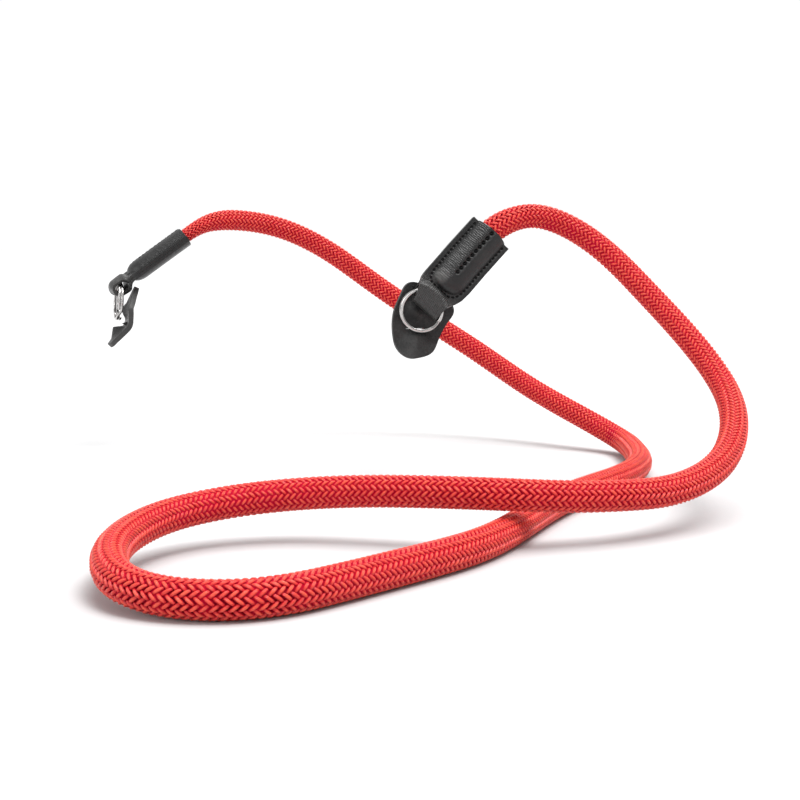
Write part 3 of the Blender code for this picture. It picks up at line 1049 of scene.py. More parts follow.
    def surface(self, across: np.ndarray, along: np.ndarray, outer: np.ndarray) -> np.ndarray:
        """The middle of the leather at places past the fold.

        Args:
            across: the distance from the strip's own middle line.
            along: the distance from the fold.
            outer: whether the place is on the outer layer.

        Returns:
            The places, one row each.
        """
        fade = 1.0 - ease((along - self.cup_start) / (self.cup_end - self.cup_start))
        drop = self.cup * self.edge_share(across) * fade
        height = self.offset(across, along)
        dome = np.sqrt(np.maximum(0.0, 1.0 - (across / self.bulge_half_width) ** 2))
        lip = self.lip_reach * dome * ease((along - self.lip_start) / (self.length - self.lip_start))
        side = np.where(outer, 1.0, -1.0)
        return np.column_stack([across + self.middle(along), along + lip, side * height - drop])

    def build_strip(self) -> bpy.types.Object:
        """Folds, thickens and carves the strip.

        Returns:
            The strip, with its bevel still to be applied.
        """
        deselect()
        bpy.ops.mesh.primitive_grid_add(
            x_subdivisions=self.columns,
            y_subdivisions=self.rows,
            size=1.0,
        )
        strip = named("leather_strip_" + self.side.value)
        self._fold(strip)
        clean_normals(strip)
        count = len(strip.data.vertices)
        thicken(strip, self.leather, 0.0)
        apply_all(strip)
        self._carve(strip, count)
        round_edges(strip, self.edge_round, 2, 72.0)
        return strip

    def _fold(self, strip: bpy.types.Object) -> None:
        """Folds the strip, from the mouth of its inner layer round to the outer mouth.

        Args:
            strip: the strip, a flat grid that is one by one.
        """
        flat = points_of(strip)
        straight = self.length - self.fold_centre
        arc = math.pi * self.fold_radius
        run = (flat[:, 1] + 0.5) * (2.0 * straight + arc)
        outer = run > straight + 0.5 * arc
        in_fold = (run > straight) & (run < straight + arc)
        turn = (run - straight) / self.fold_radius - 0.5 * math.pi
        along = np.where(outer, run - straight - arc + self.fold_centre, self.length - run)
        along = np.where(in_fold, self.fold_centre - self.fold_radius * np.cos(turn), along)
        across = 2.0 * flat[:, 0] * self.half_width(along)
        places = self.surface(across, np.maximum(along, self.fold_centre), outer)
        height = self.fold_radius * np.sin(turn) - self.cup * self.edge_share(across)
        folded = np.column_stack([across + self.middle(along), along, height])
        set_points(strip, np.where(in_fold[:, None], folded, places))
        # The "sunk" share is kept for the finish, which paints shade in the holes and furrows by it.
        sunk = np.where(in_fold, 0.0, self.sunk(across, along, outer))
        relief = np.where(in_fold, 0.0, self.relief(across, along, outer))
        lay = np.column_stack([across / MM, along / MM, self.creased(across, along)])
        keep_values(strip.data, "sunk", sunk)
        keep_values(strip.data, "relief", relief)
        keep_values(strip.data, "lay", lay)

    @staticmethod
    def _carve(strip: bpy.types.Object, count: int) -> None:
        """Takes the relief from the outside of the thickened strip.

        Args:
            strip: the strip, the vertices of one face of it before those of the other.
            count: how many vertices each face has.
        """
        places = points_of(strip)
        depth = np.empty(len(places))
        strip.data.attributes["relief"].data.foreach_get("value", depth)
        first, second = places[:count], places[count:2 * count]
        way = first - second
        way = way / np.linalg.norm(way, axis=1)[:, None] * depth[:count, None]
        if np.sum(np.abs(first[:, 2]) - np.abs(second[:, 2])) > 0.0:
            places[:count] -= way
        else:
            places[count:2 * count] += way
        set_points(strip, places)

    def build_thread(self, model: bpy.types.Object) -> bpy.types.Object:
        """Lays copies of one stitch along the seam, on both faces, and along the groove.

        Args:
            model: the stitch, lying along Y with its middle at the origin.

        Returns:
            All the stitches, joined.
        """
        seam, groove = self.seam_stitches(), self.groove_stitches()
        spots = [(row, outer, self.seam_lift) for outer in (True, False) for row in seam]
        spots += [(row, True, self.groove_lift) for row in groove]
        laid = []
        for (across, along, right, up), outer, lift in spots:
            right, up = right * self.stitch_sight, up * self.stitch_sight
            here = self._outside(across, along, outer)
            ahead = self._outside(across + right, along + up, outer)
            aside = self._outside(across + up, along - right, outer)
            y_axis = (ahead - here).normalized()
            z_axis = (aside - here).cross(y_axis).normalized()
            x_axis = y_axis.cross(z_axis)
            turned = Matrix((x_axis, y_axis, z_axis)).transposed().to_4x4()
            out = z_axis if (z_axis.z > 0.0) == outer else -z_axis
            stitch = model.copy()
            stitch.data = model.data.copy()
            bpy.context.scene.collection.objects.link(stitch)
            settle(stitch, Matrix.Translation(here + lift * out) @ turned)
            laid.append(stitch)
        deselect()
        for stitch in laid:
            stitch.select_set(True)
        bpy.context.view_layer.objects.active = laid[0]
        bpy.ops.object.join()
        return named("seam_thread_" + self.side.value)

    def _outside(self, across: float, along: float, outer: bool) -> Vector:
        """A place on the outside of the carved leather.

        Args:
            across: the distance from the strip's own middle line.
            along: the distance from the fold.
            outer: whether the place is on the outer layer.

        Returns:
            The place.
        """
        spot = np.array([across]), np.array([along]), np.array([outer])
        at = self.surface(*spot)[0]
        at[2] += (1.0 if outer else -1.0) * (0.5 * self.leather - self.relief(*spot)[0])
        return Vector(at)

    def build(
        self,
        leather: bpy.types.Material,
        edge: bpy.types.Material,
        thread: bpy.types.Material,
        stitch: bpy.types.Object,
    ) -> None:
        """Builds the end piece and its thread, and dresses both.

        Args:
            leather: the finish of its faces.
            edge: the finish of its cut edge.
            thread: the finish of its thread.
            stitch: the model of one stitch.
        """
        strip = self.build_strip()
        strip.data.materials.append(leather)
        strip.data.materials.append(edge)
        apply_all(strip)
        settle(strip, self.placement)
        smooth(strip, 35.0)
        sewn = self.build_thread(stitch)
        sewn.data.materials.clear()
        sewn.data.materials.append(thread)
        settle(sewn, self.placement)
        node = "leather_end_" + self.side.value
        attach(strip, "root")
        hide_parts(node)
        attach(sewn, "root")
        for piece in (strip, sewn):
            report(piece)


@dataclass
class StitchModel:
    """One stitch of thread: a short stout bar whose ends dive into the leather."""

    half_length: float = 0.66 * MM
    half_width: float = 0.29 * MM
    sides: int = 8
    bar_share: float = 0.6
    tip_steps: tuple[tuple[float, float], ...] = ((0.84, 0.091 * MM), (0.6, 0.169 * MM))

    def build(self) -> bpy.types.Object:
        """Models the stitch once: a bar whose two ends are drawn out, thinned and sunk.

        Returns:
            The stitch, lying along Y with its middle at the origin.
        """
        deselect()
        bpy.ops.mesh.primitive_cylinder_add(
            vertices=self.sides,
            radius=self.half_width,
            depth=2.0 * self.bar_share * self.half_length,
            rotation=(math.pi / 2, 0.0, 0.0),
        )
        bar = named("stitch_model")
        bpy.ops.object.transform_apply(location=False, rotation=True, scale=False)
        for sign in (1.0, -1.0):
            bpy.ops.object.mode_set(mode="EDIT")
            bpy.ops.mesh.select_all(action="DESELECT")
            bpy.ops.object.mode_set(mode="OBJECT")
            for face in bar.data.polygons:
                face.select = face.normal.y * sign > 0.9
            bpy.ops.object.mode_set(mode="EDIT")
            bpy.ops.mesh.select_mode(type="FACE")
            step = (1.0 - self.bar_share) / len(self.tip_steps) * self.half_length * sign
            for share, sink in self.tip_steps:
                move = {"value": (0.0, step, -sink)}
                bpy.ops.mesh.extrude_region_move(TRANSFORM_OT_translate=move)
                bpy.ops.transform.resize(value=(share, share, share))
            bpy.ops.object.mode_set(mode="OBJECT")
        smooth(bar, 60.0)
        return bar


# ---------------------------------------------------------------------------------------------
# The rope
# ---------------------------------------------------------------------------------------------


@dataclass
class BraidedRope:
    """A round rope: a core under a braid, whose floats lie in wales of alternate lean.

    Its route and its height at rest are in mm. Its swell is its thickness as a share of the
    diameter, by the share of its way between the two mouths.
    """

    ends: dict[Side, LeatherEnd]
    diameter: float = 9.6 * MM
    length: float = 1.059
    tuck: float = 20.6 * MM
    wales: int = 16
    pitch: float = 2.0 * MM
    slant: float = math.radians(46.0)
    float_half_length: float = 1.72 * MM
    float_half_width: float = FLOAT_HALF_WIDTH
    float_height: float = 1.00 * MM
    float_waist: float = 0.30
    float_spread: float = 0.07
    float_rows: tuple[float, ...] = (-1.0, -0.8, -0.3, 0.3, 0.8, 1.0)
    float_columns: tuple[float, ...] = (-1.0, -0.62, 0.0, 0.62, 1.0)
    core_depth: float = 0.64 * MM
    core_sides: int = 32
    core_rings: int = 460
    cover_pieces: int = 3
    overlap: float = 2.6 * MM
    mouth_half_depth: float = 2.95 * MM
    mouth_half_width: float = 4.9 * MM
    mouth_reach: float = 26.0 * MM
    readings: int = 4400
    path_step: int = 20
    float_gap: float = 1e-6 * MM
    seed: int = 20
    rest_height: float = -51.3
    swell: tuple[tuple[float, float], ...] = (
        (0.0, 0.92),
        (0.03, 0.95),
        (0.12, 0.98),
        (0.45, 1.0),
        (0.60, 1.03),
        (0.75, 1.0),
        (0.97, 0.96),
        (1.0, 0.92),
    )

    def route(self) -> list[Point]:
        """The listed places of the rope's way.

        Returns:
            The places in mm, from the left mouth to the right one.
        """
        rest = self.rest_height
        return [
            (-92.7, 99.0, 39.6),
            (-76.5, 109.3, 41.5),
            (-59.5, 116.9, 37.9),
            (-36.7, 122.7, 26.1),
            (-21.5, 124.5, 15.2),
            (5.7, 123.7, -3.2),
            (25.0, 119.4, -15.4),
            (47.9, 106.8, -30.5),
            (70.2, 85.4, -42.5),
            (83.5, 69.6, -49.5),
            (86.0, 46.3, rest),
            (82.6, 10.9, rest),
            (74.1, -15.8, rest),
            (49.9, -58.3, rest),
            (31.2, -100.9, rest),
            (11.2, -144.4, rest),
            (-8.1, -168.6, rest),
            (-24.9, -187.7, rest),
            (-41.2, -200.6, rest),
            (-58.0, -201.6, -51.1),
            (-72.5, -193.0, -50.0),
            (-80.6, -172.0, -47.6),
            (-79.1, -149.2, -46.0),
            (-70.0, -128.5, -44.6),
            (-50.1, -114.2, -43.0),
            (-24.5, -113.4, -41.2),
            (1.0, -119.6, -40.2),
            (23.9, -122.6, -40.5),
            (42.4, -119.1, -41.6),
            (58.6, -112.7, -42.3),
            (71.7, -103.4, -42.7),
            (84.7, -90.2, -40.9),
            (96.9, -71.4, -35.5),
            (103.5, -49.8, -26.4),
            (103.8, -30.9, -17.4),
            (97.0, -11.3, -4.1),
            (82.7, 9.2, 14.3),
            (63.7, 21.0, 32.9),
            (44.8, 18.0, 41.2),
            (34.3, 12.4, 40.2),
        ]

    def __post_init__(self) -> None:
        """Settles the rope's line and the frame that is carried along it."""
        tucks = (self.tuck, 0.5 * self.tuck, 0.0)
        left, right = self.ends[Side.LEFT], self.ends[Side.RIGHT]
        first = [left.placement @ Vector((0.0, left.length - back, 0.0)) for back in tucks]
        last = [right.placement @ Vector((0.0, right.length - back, 0.0)) for back in reversed(tucks)]
        middle = [Vector(place) * MM for place in self.route()]
        stops = np.array([tuple(place) for place in (*first, *middle, *last)])
        self.exit = stops[len(first) - 1]
        self.places = SmoothLine(stops).even(self.readings)
        steps = np.linalg.norm(np.diff(self.places, axis=0), axis=1)
        self.travelled = np.concatenate([[0.0], np.cumsum(steps)])
        self.total = float(self.travelled[-1])
        self.first, self.last = self.tuck - self.overlap, self.total - self.tuck + self.overlap
        ways = np.gradient(self.places, axis=0)
        self.ways = ways / np.linalg.norm(ways, axis=1)[:, None]
        self.uprights = self._carry()

    def _carry(self) -> np.ndarray:
        """Carries one upright along the line without any twist.

        Returns:
            The upright at each place, one row each.
        """
        held = np.array(self.ends[Side.LEFT].placement.to_3x3().col[2])
        carried = []
        for way in self.ways:
            held = held - way * float(way @ held)
            held = held / np.linalg.norm(held)
            carried.append(held)
        return np.array(carried)

    def radius(self, at: np.ndarray) -> np.ndarray:
        """The rope's radius at distances along it."""
        share = (at - self.tuck) / (self.total - 2.0 * self.tuck)
        return 0.5 * self.diameter * table(self.swell, share)

    def skin(self, at: np.ndarray, turn: np.ndarray, lift: np.ndarray | float) -> np.ndarray:
        """Places on the rope's skin, which is pressed flat in the leather mouths.

        Args:
            at: distances along the rope.
            turn: angles round it.
            lift: how far above the skin each place is.

        Returns:
            The places, one row each.
        """
        middle, way, upright = (
            np.column_stack([np.interp(at, self.travelled, column) for column in rows.T])
            for rows in (self.places, self.ways, self.uprights)
        )
        side = np.cross(way, upright)
        out = np.cos(turn)[:, None] * upright + np.sin(turn)[:, None] * side
        radius = self.radius(at)
        reach = out * (radius + lift)[:, None]
        thin = self.mouth_half_depth / radius - 1.0
        wide = self.mouth_half_width / radius - 1.0
        past_mouths = {Side.LEFT: at - self.tuck, Side.RIGHT: self.total - self.tuck - at}
        for side_of, distance in past_mouths.items():
            turned = self.ends[side_of].placement.to_3x3()
            press = 1.0 - ease(distance / self.mouth_reach)
            for axis, change in ((2, thin), (0, wide)):
                line = np.array(turned.col[axis])
                reach += (press * change * (reach @ line))[:, None] * line
        return middle + reach

    def build_core(self) -> bpy.types.Object:
        """Builds the smooth core, a tube closed at both ends.

        Returns:
            The core.
        """
        deselect()
        bpy.ops.mesh.primitive_cylinder_add(
            vertices=self.core_sides,
            radius=1.0,
            depth=2.0,
            end_fill_type="NOTHING",
        )
        core = named("rope_core")
        bpy.ops.object.mode_set(mode="EDIT")
        bpy.ops.mesh.select_all(action="SELECT")
        bpy.ops.transform.translate(value=(0.0, 0.0, 1.0))
        bpy.ops.object.mode_set(mode="OBJECT")
        self._subdivide_lengthwise(core)
        flat = points_of(core)
        turn = np.arctan2(flat[:, 1], flat[:, 0])
        at = 0.5 * flat[:, 2] * self.total
        set_points(core, self.skin(at, turn, -self.core_depth))
        pick(core)
        bpy.ops.object.mode_set(mode="EDIT")
        bpy.ops.mesh.select_mode(type="EDGE")
        bpy.ops.mesh.select_all(action="SELECT")
        bpy.ops.mesh.region_to_loop()
        bpy.ops.mesh.edge_face_add()
        bpy.ops.object.mode_set(mode="OBJECT")
        clean_normals(core)
        smooth(core, 50.0)
        return core

    def _subdivide_lengthwise(self, core: bpy.types.Object) -> None:
        """Cuts the tube's long edges into equal lengths, which gives it its rings.

        Args:
            core: the tube, upright and two long.
        """
        mesh = core.data
        bpy.ops.object.mode_set(mode="EDIT")
        bpy.ops.mesh.select_mode(type="EDGE")
        bpy.ops.mesh.select_all(action="DESELECT")
        bpy.ops.object.mode_set(mode="OBJECT")
        for edge in mesh.edges:
            lower, upper = (mesh.vertices[index].co.z for index in edge.vertices)
            edge.select = abs(lower - upper) > 1.0
        bpy.ops.object.mode_set(mode="EDIT")
        bpy.ops.mesh.subdivide(number_cuts=self.core_rings)
        bpy.ops.object.mode_set(mode="OBJECT")

    def float_model(self) -> tuple[np.ndarray, list[tuple[int, ...]]]:
        """Models one float of the braid, a domed leaf that narrows to its ends.

        Returns:
            Its points, as shares along, across and up, and its faces by their numbers, the last
            one of which closes it underneath.
        """
        points = []
        for row in self.float_rows:
            waist = 1.0 - self.float_waist * row ** 4
            for column in self.float_columns:
                dome = math.sqrt(max(0.0, 1.0 - column ** 2)) * (1.0 - row ** 4)
                points.append((row, column * waist, dome))
        tall, size = len(self.float_rows), len(self.float_columns)
        faces = [
            (a * size + b, a * size + b + 1, (a + 1) * size + b + 1, (a + 1) * size + b)
            for a in range(tall - 1)
            for b in range(size - 1)
        ]
        rim = list(range(size)) + [row * size + size - 1 for row in range(1, tall)]
        rim += [(tall - 1) * size + column for column in range(size - 2, -1, -1)]
        rim += [row * size for row in range(tall - 2, 0, -1)]
        faces.append(tuple(rim))
        return np.array(points), faces

    def float_spots(self, first: float, last: float) -> np.ndarray:
        """Lays out the floats between two distances along the rope.

        Args:
            first: the distance where they start.
            last: the distance where they end.

        Returns:
            One row for each float: its distance, its turn, its lean, its tone and its size.
        """
        chance = np.random.default_rng(self.seed)
        spots = []
        for wale in range(self.wales):
            lean = Lean.RIGHT_HANDED if wale % 2 == 0 else Lean.LEFT_HANDED
            shift = 0.0 if lean is Lean.RIGHT_HANDED else 0.5 * self.pitch
            stops = np.arange(self.first, self.last, self.pitch) + shift
            tones = chance.random(len(stops))
            sizes = 1.0 + self.float_spread * (chance.random(len(stops)) - 0.5)
            turns = np.full_like(stops, (wale + 0.5) * 2.0 * math.pi / self.wales)
            leans = np.full_like(stops, lean.value)
            keep = (stops >= first) & (stops < last)
            spots.append(np.column_stack([stops, turns, leans, tones, sizes])[keep])
        return np.vstack(spots)

    def build_cover(self, first: float, last: float, name: str) -> bpy.types.Object:
        """Builds the braid's floats between two distances along the rope, as one mesh.

        Args:
            first: the distance where they start.
            last: the distance where they end.
            name: the name of the piece.

        Returns:
            The piece.
        """
        model, faces = self.float_model()
        spots = self.float_spots(first, last)
        start, middle, lean, tone, size = (spots[:, index:index + 1] for index in range(5))
        along = model[None, :, 0] * self.float_half_length * size
        across = model[None, :, 1] * self.float_half_width * size
        cosine, sine = math.cos(self.slant), math.sin(self.slant)
        at = start + along * cosine - across * sine * lean
        round_way = along * sine * lean + across * cosine
        turn = middle + round_way / self.radius(start)
        lift = (model[None, :, 2] - 1.0) * self.float_height * size
        cover = self._copies(name, len(spots), len(model), faces)
        set_points(cover, self.skin(at.ravel(), turn.ravel(), lift.ravel()))
        lie = np.stack([along / MM, across / MM, np.broadcast_to(tone, along.shape)], axis=-1)
        keep_values(cover.data, "lie", lie)
        keep_values(cover.data, "height", np.tile(model[:, 2], len(spots)))
        clean_normals(cover, self.float_gap)
        pick(cover)
        bpy.ops.object.shade_smooth()
        return cover

    @staticmethod
    def _copies(name: str, count: int, size: int, faces: list[tuple[int, ...]]) -> bpy.types.Object:
        """Makes a mesh of many copies of a model, with their points still to be placed.

        Args:
            name: the name of the piece.
            count: how many copies there are.
            size: how many points the model has.
            faces: the model's faces, by the numbers of their points.

        Returns:
            The piece.
        """
        starts = (np.arange(count) * size)[:, None]
        loops = np.hstack([starts + np.array(face)[None, :] for face in faces])
        lengths = np.array([len(face) for face in faces])
        mesh = bpy.data.meshes.new(name)
        mesh.vertices.add(count * size)
        mesh.loops.add(loops.size)
        mesh.loops.foreach_set("vertex_index", loops.ravel().astype(np.int32))
        mesh.polygons.add(count * len(faces))
        offsets = np.concatenate([[0], np.cumsum(lengths)[:-1]])
        all_starts = (np.arange(count) * lengths.sum())[:, None] + offsets[None, :]
        mesh.polygons.foreach_set("loop_start", all_starts.ravel().astype(np.int32))
        mesh.update(calc_edges=True)
        mesh.validate()
        obj = bpy.data.objects.new(name, mesh)
        bpy.context.scene.collection.objects.link(obj)
        return obj

    def build(self, yarn: bpy.types.Material, heart: bpy.types.Material) -> None:
        """Args:
            yarn: the finish of its braid.
            heart: the finish of its core.
        """
        core = self.build_core()
        core.data.materials.append(heart)
        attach(core, "root")
        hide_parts("rope")
        report(core)
        cuts = np.linspace(self.first, self.last, self.cover_pieces + 1)
        for index, (begin, stop) in enumerate(zip(cuts, cuts[1:])):
            cover = self.build_cover(begin, stop, f"rope_braid_{index + 1}")
            cover.data.materials.append(yarn)
            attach(cover, "root")
            report(cover)
        LOG.info("rope: %.1f mm from end to end", self.total / MM)


# ---------------------------------------------------------------------------------------------
# The split rings
# ---------------------------------------------------------------------------------------------


@dataclass
class SplitRing:
    """A split ring: one wire wound round twice, which steps across once.

    Its centre is a place in mm, and its split lies at an angle in degrees.
    """

    side: Side
    centre: Point
    normal: Point
    split_angle: float
    outer_radius: float = 8.1 * MM
    wire_radial: float = 1.3 * MM
    wire_axial: float = 1.1 * MM
    coil_gap: float = 0.1 * MM
    jog: float = math.radians(15.0)
    sides: int = 20
    squareness: float = 2.8
    coil_steps: int = 150
    jog_steps: int = 24
    end_round: float = 0.14 * MM

    def build_wire(self) -> bpy.types.Object:
        """Winds the wire by spinning its section, with the step across between the two coils.

        Returns:
            The ring, lying flat, with its bevel still to be applied.
        """
        deselect()
        bpy.ops.mesh.primitive_circle_add(vertices=self.sides, radius=1.0, fill_type="NGON")
        wire = named("split_ring_wire_" + self.side.value)
        flat = points_of(wire)
        turn = np.arctan2(flat[:, 1], flat[:, 0])
        power = 2.0 / self.squareness
        out = np.sign(np.cos(turn)) * np.abs(np.cos(turn)) ** power * 0.5 * self.wire_radial
        side = np.sign(np.sin(turn)) * np.abs(np.sin(turn)) ** power * 0.5 * self.wire_axial
        radius = self.outer_radius - 0.5 * self.wire_radial
        offset = 0.5 * (self.wire_axial + self.coil_gap)
        set_points(wire, np.column_stack([radius + out, np.zeros_like(out), side - offset]))
        pick(wire)
        bpy.ops.object.mode_set(mode="EDIT")
        bpy.ops.mesh.select_all(action="SELECT")
        coil = 2.0 * math.pi - 2.0 * self.jog
        self._spin(coil, self.coil_steps)
        climbed = 0.0
        for step in range(1, self.jog_steps + 1):
            share = float(ease(step / self.jog_steps))
            self._spin(2.0 * self.jog / self.jog_steps, 1)
            bpy.ops.transform.translate(value=(0.0, 0.0, 2.0 * offset * (share - climbed)))
            climbed = share
        self._spin(coil, self.coil_steps)
        bpy.ops.object.mode_set(mode="OBJECT")
        clean_normals(wire, 0.002 * MM)
        round_edges(wire, self.end_round, 3, 70.0)
        return wire

    @staticmethod
    def _spin(angle: float, steps: int) -> None:
        """Spins what is selected round the ring's own axis."""
        middle, axis = (0.0, 0.0, 0.0), (0.0, 0.0, 1.0)
        bpy.ops.mesh.spin(steps=steps, dupli=False, angle=angle, center=middle, axis=axis)

    def build(self, steel: bpy.types.Material) -> None:
        """Builds the ring and dresses it.

        Args:
            steel: the finish of its wire.
        """
        wire = self.build_wire()
        apply_all(wire)
        wire.data.materials.append(steel)
        turned = Matrix.Rotation(math.radians(self.split_angle) + self.jog, 4, "Z")
        settle(wire, facing(self.centre, self.normal) @ turned)
        smooth(wire, 60.0)
        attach(wire, "root")
        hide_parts("split_ring_" + self.side.value)
        report(wire)


# ---------------------------------------------------------------------------------------------
# The guards
# ---------------------------------------------------------------------------------------------


@dataclass
class LeatherGuard:
    """A leather leaf behind a ring, with a slit, a dome, a ridge and bent edges.

    In its own space X is its width, Y its height and Z its front. Its centre and its outline are
    in mm, and the angles that its lower and its upper edge are bent by are in degrees.
    """

    side: Side
    centre: Point
    normal: Point
    ridge: float
    bend_start: float
    bend_angle: float
    lean_start: float
    lean_angle: float
    ridge_rise: float
    thickness: float = 2.0 * MM
    dome_height: float = 1.7 * MM
    dome_centre: tuple[float, float] = (-3.6 * MM, 3.0 * MM)
    dome_radii: tuple[float, float] = (4.8 * MM, 5.4 * MM)
    bend_radius: float = 4.0 * MM
    slit_length: float = 8.6 * MM
    slit_width: float = 0.14 * MM
    slit_centre: tuple[float, float] = (-2.9 * MM, -3.2 * MM)
    ridge_half_width: float = 2.5 * MM
    ridge_spread: float = 0.35
    ridge_climb: float = 0.12
    first_spoke: float = 94.0
    spokes: int = 144
    rings: int = 40
    edge_round: float = 0.35 * MM
    outline: tuple[tuple[float, float], ...] = (
        (-4.2, 14.0),
        (-1.6, 13.4),
        (5.2, 9.3),
        (11.4, 4.6),
        (11.6, 2.8),
        (9.4, -0.9),
        (5.6, -7.6),
        (2.9, -12.0),
        (-2.0, -13.9),
        (-6.9, -13.9),
        (-10.0, -11.4),
        (-11.6, -6.4),
        (-11.9, -1.0),
        (-10.9, 4.6),
        (-8.7, 9.4),
        (-6.4, 13.2),
    )

    def _bent(self, distance: np.ndarray, degrees: float) -> tuple[np.ndarray, np.ndarray]:
        """Bends the leaf.

        Args:
            distance: how far past the start of the bend a point is.
            degrees: the angle of the whole bend.

        Returns:
            How far the leaf reaches on from the start of the bend, and how far out.
        """
        limit = math.radians(degrees)
        turned = np.minimum(limit, distance / self.bend_radius)
        straight = np.maximum(0.0, distance - limit * self.bend_radius)
        down = self.bend_radius * np.sin(turned) + straight * np.cos(turned)
        out = self.bend_radius * (1.0 - np.cos(turned)) + straight * np.sin(turned)
        return down, out

    def lift(self, across: np.ndarray, up: np.ndarray) -> np.ndarray:
        """Where the points of the flat leaf go.

        Args:
            across: the distance to the right of the leaf's middle.
            up: the distance above it.

        Returns:
            The places on the leaf's front, one row each.
        """
        far = np.sqrt(
            ((across - self.dome_centre[0]) / self.dome_radii[0]) ** 2
            + ((up - self.dome_centre[1]) / self.dome_radii[1]) ** 2
        )
        dome = self.dome_height * ease(1.0 - far)
        below = self.slit_centre[1] - up
        past = np.maximum(0.0, below - self.bend_start)
        down, out = self._bent(past, self.bend_angle)
        dropped = up - (down - past)
        width = self.ridge_half_width + self.ridge_spread * np.maximum(0.0, below)
        crest = np.maximum(out, self.ridge + self.ridge_climb * below)
        begun = ease((below - 0.5 * self.slit_width) / self.ridge_rise)
        share = begun * np.exp(-(((across - self.slit_centre[0]) / width) ** 2))
        above = np.maximum(0.0, -below - self.lean_start)
        risen, back = self._bent(above, self.lean_angle)
        front = dome + out - back + (crest - out) * share
        return np.column_stack([across, dropped - above + risen, front])

    def build_leaf(self) -> bpy.types.Object:
        """Builds the leaf, a band of rings from the slit to the outline.

        Returns:
            The leaf, with its thickness and its bevel still to be applied.
        """
        line = SmoothLine(np.array([(x * MM, y * MM, 0.0) for x, y in self.outline]), closed=True)
        edge = line.even(self.spokes + 1)
        turn = math.radians(self.first_spoke) - 2.0 * math.pi * np.arange(self.spokes + 1) / self.spokes
        rise = np.sin(turn)
        slit = np.column_stack([
            self.slit_centre[0] + 0.5 * self.slit_length * np.cos(turn),
            self.slit_centre[1] + 0.5 * self.slit_width * np.copysign(np.sqrt(np.abs(rise)), rise),
            np.zeros_like(turn),
        ])
        deselect()
        bpy.ops.mesh.primitive_grid_add(
            x_subdivisions=self.spokes,
            y_subdivisions=self.rings,
            size=1.0,
        )
        leaf = named("guard_leaf_" + self.side.value)
        flat = points_of(leaf)
        spoke = np.rint((flat[:, 0] + 0.5) * self.spokes).astype(int)
        share = (flat[:, 1] + 0.5)[:, None]
        spread = slit[spoke] + (edge[spoke] - slit[spoke]) * share
        set_points(leaf, self.lift(spread[:, 0], spread[:, 1]))
        clean_normals(leaf)
        if sum(face.normal.z * face.area for face in leaf.data.polygons) < 0.0:
            leaf.data.flip_normals()
        thicken(leaf, self.thickness, -1.0)
        round_edges(leaf, self.edge_round, 3, 55.0)
        return leaf

    def build(self, leather: bpy.types.Material, edge: bpy.types.Material) -> None:
        """Builds the guard and dresses it.

        Args:
            leather: the finish of its faces.
            edge: the finish of its cut edge.
        """
        leaf = self.build_leaf()
        leaf.data.materials.append(leather)
        leaf.data.materials.append(edge)
        apply_all(leaf)
        settle(leaf, facing(self.centre, self.normal))
        smooth(leaf, 40.0)
        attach(leaf, "root")
        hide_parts("guard_" + self.side.value)
        report(leaf)


# ---------------------------------------------------------------------------------------------
# The studio
# ---------------------------------------------------------------------------------------------


@dataclass
class SoftLight:
    """A distant soft lamp, which lights all of the floor alike.

    It shines from its place towards the origin, and its spread is an angle in degrees.
    """

    name: str
    place: Point
    strength: float
    spread: float

    def hang(self) -> None:
        """Hangs the lamp, aimed at the origin."""
        light = bpy.data.lights.new(self.name, "SUN")
        light.energy = self.strength
        light.angle = math.radians(self.spread)
        lamp = bpy.data.objects.new(self.name, light)
        bpy.context.scene.collection.objects.link(lamp)
        lamp.location = self.place
        lamp.rotation_euler = (-Vector(self.place)).to_track_quat("-Z", "Y").to_euler()


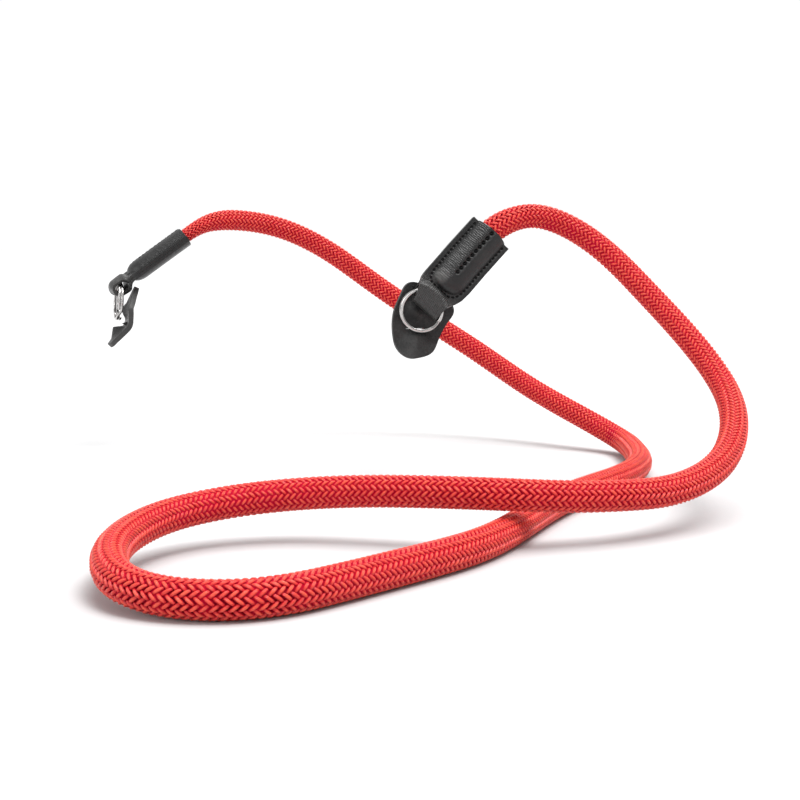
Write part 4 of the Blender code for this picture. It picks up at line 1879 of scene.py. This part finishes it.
@dataclass
class Studio:
    """A white sweep, soft light from above, from the left and from the front, and the camera."""

    floor_height: float = -56.2 * MM
    floor_size: float = 120.0
    floor_squares: int = 8
    camera_place: Point = (-7.88 * MM, -525.54 * MM, 28.83 * MM)
    camera_pitch: float = -5.98
    camera_lens: float = 64.5
    camera_reach: tuple[float, float] = (0.01, 400.0)
    sensor: float = 36.0
    room_front: float = 0.28
    room_above: float = 0.40
    room_back: float = 0.36
    room_left: float = 0.30
    room_seen: float = 1.02
    lamps: tuple[SoftLight, ...] = (
        SoftLight("top_light", (0.30, 0.10, 1.0), 3.3, 56.0),
        SoftLight("key_light", (0.40, -0.25, 1.0), 1.3, 22.0),
        SoftLight("side_light", (-0.85, -0.50, 0.50), 0.6, 24.0),
        SoftLight("front_light", (-0.15, -1.0, 0.30), 0.5, 30.0),
    )

    def build_floor(self, finish: bpy.types.Material) -> None:
        """Lays the white floor.

        Args:
            finish: the finish of the floor.
        """
        deselect()
        bpy.ops.mesh.primitive_grid_add(
            x_subdivisions=self.floor_squares,
            y_subdivisions=self.floor_squares,
            size=self.floor_size,
            location=(0.0, 0.0, self.floor_height),
        )
        floor = named("studio_floor")
        floor.data.materials.append(finish)
        settle(floor, floor.matrix_world.copy())

    def build_room(self) -> None:
        """Whitens what the camera sees of the room, and shades what lights the strap.

        The room is brightest above, behind and far to the left, and dimmer in front.
        """
        world = bpy.data.worlds.new("white_room")
        world.use_nodes = True
        board = NodeBoard.of_world(world)
        right, back, up = board.split(board.add("ShaderNodeTexCoord", {}, {}, "Generated"))
        above = (up * 1.7).held()
        behind = (back * 1.4 + 0.1).held()
        left = (right * -2.4 - 1.0).held()
        light = (
            above * self.room_above
            + behind * (1.0 - above * 0.8) * self.room_back
            + left * (1.0 - above) * self.room_left
            + self.room_front
        )
        seen = board.add("ShaderNodeLightPath", {}, {}, "Is Camera Ray")
        board.feed_background(light * (1.0 - seen) + seen * self.room_seen)
        bpy.context.scene.world = world

    def build_camera(self) -> None:
        """Sets the camera where the photograph was taken from."""
        lens = bpy.data.cameras.new("view")
        lens.lens = self.camera_lens
        lens.sensor_width = self.sensor
        lens.clip_start, lens.clip_end = self.camera_reach
        camera = bpy.data.objects.new("view", lens)
        bpy.context.scene.collection.objects.link(camera)
        camera.location = self.camera_place
        camera.rotation_euler = (math.radians(90.0 + self.camera_pitch), 0.0, 0.0)
        bpy.context.scene.camera = camera

    def build(self, floor: bpy.types.Material) -> None:
        """Sets up the whole studio.

        Args:
            floor: the finish of the floor.
        """
        self.build_camera()
        self.build_floor(floor)
        self.build_room()
        for lamp in self.lamps:
            lamp.hang()
        bpy.context.scene.view_settings.view_transform = "Standard"
        bpy.context.scene.view_settings.look = "None"
        LOG.info("studio: floor at %.1f mm", self.floor_height / MM)


def strap_ends() -> dict[Side, LeatherEnd]:
    """Puts the two leather ends in their places.

    Returns:
        The ends, by their sides.
    """
    return {
        Side.LEFT: LeatherEnd(
            Side.LEFT,
            fold=(-130.3, 82.0, 11.6),
            along=(0.757, 0.301, 0.581),
            across=(0.310, -0.948, -0.069),
            cup=2.3 * MM,
            gather=0.25,
        ),
        Side.RIGHT: LeatherEnd(
            Side.RIGHT,
            fold=(0.53, -0.55, 6.87),
            along=(0.643, 0.225, 0.732),
            across=(0.745, 0.090, -0.650),
            cup=0.0,
            gather=0.06,
        ),
    }


def split_rings() -> tuple[SplitRing, ...]:
    """Puts the two split rings in their places.

    Returns:
        The rings.
    """
    return (
        SplitRing(
            Side.LEFT,
            centre=(-127.3, 83.7, 7.1),
            normal=(-0.947, -0.314, 0.070),
            split_angle=-70.0,
        ),
        SplitRing(
            Side.RIGHT,
            centre=(0.0, 0.0, 6.8),
            normal=(0.135, -0.991, 0.0),
            split_angle=-78.0,
        ),
    )


def guards() -> tuple[LeatherGuard, ...]:
    """Puts the two guards in their places.

    Returns:
        The guards.
    """
    return (
        LeatherGuard(
            Side.LEFT,
            centre=(-123.3, 80.5, 0.2),
            normal=(-0.966, -0.259, 0.0),
            ridge=5.6 * MM,
            bend_start=-2.0 * MM,
            bend_angle=43.0,
            lean_start=7.0 * MM,
            lean_angle=24.0,
            ridge_rise=0.9 * MM,
        ),
        LeatherGuard(
            Side.RIGHT,
            centre=(1.0, 5.1, 3.1),
            normal=(0.259, -0.966, 0.0),
            ridge=2.6 * MM,
            bend_start=4.0 * MM,
            bend_angle=16.0,
            lean_start=12.0 * MM,
            lean_angle=0.0,
            ridge_rise=2.6 * MM,
        ),
    )


def main() -> None:
    """Builds the studio, then the strap piece by piece."""
    logging.basicConfig(level=logging.INFO, format="%(name)s: %(message)s")
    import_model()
    Studio().build(FloorFinish().make())
    ends = strap_ends()
    braid = BraidFinish()
    BraidedRope(ends).build(braid.make(), braid.make_core())
    edge = CutEdgeFinish().make()
    end_leather = LeatherFinish("satin_end_leather").make()
    guard_leather = LeatherFinish(
        "matte_guard_leather",
        worn=(0.045, 0.044, 0.043, 1.0),
        grain=0.5 * MM,
        crease_depth=0.5 * MM,
        roughness=0.34,
        coat=0.1,
        lined=False,
    ).make()
    thread = ThreadFinish().make()
    stitch = StitchModel().build()
    for end in ends.values():
        end.build(end_leather, edge, thread, stitch)
    bpy.data.objects.remove(stitch, do_unlink=True)
    steel = SteelFinish().make()
    for ring in split_rings():
        ring.build(steel)
    for guard in guards():
        guard.build(guard_leather, edge)


if __name__ == "__main__":
    main()
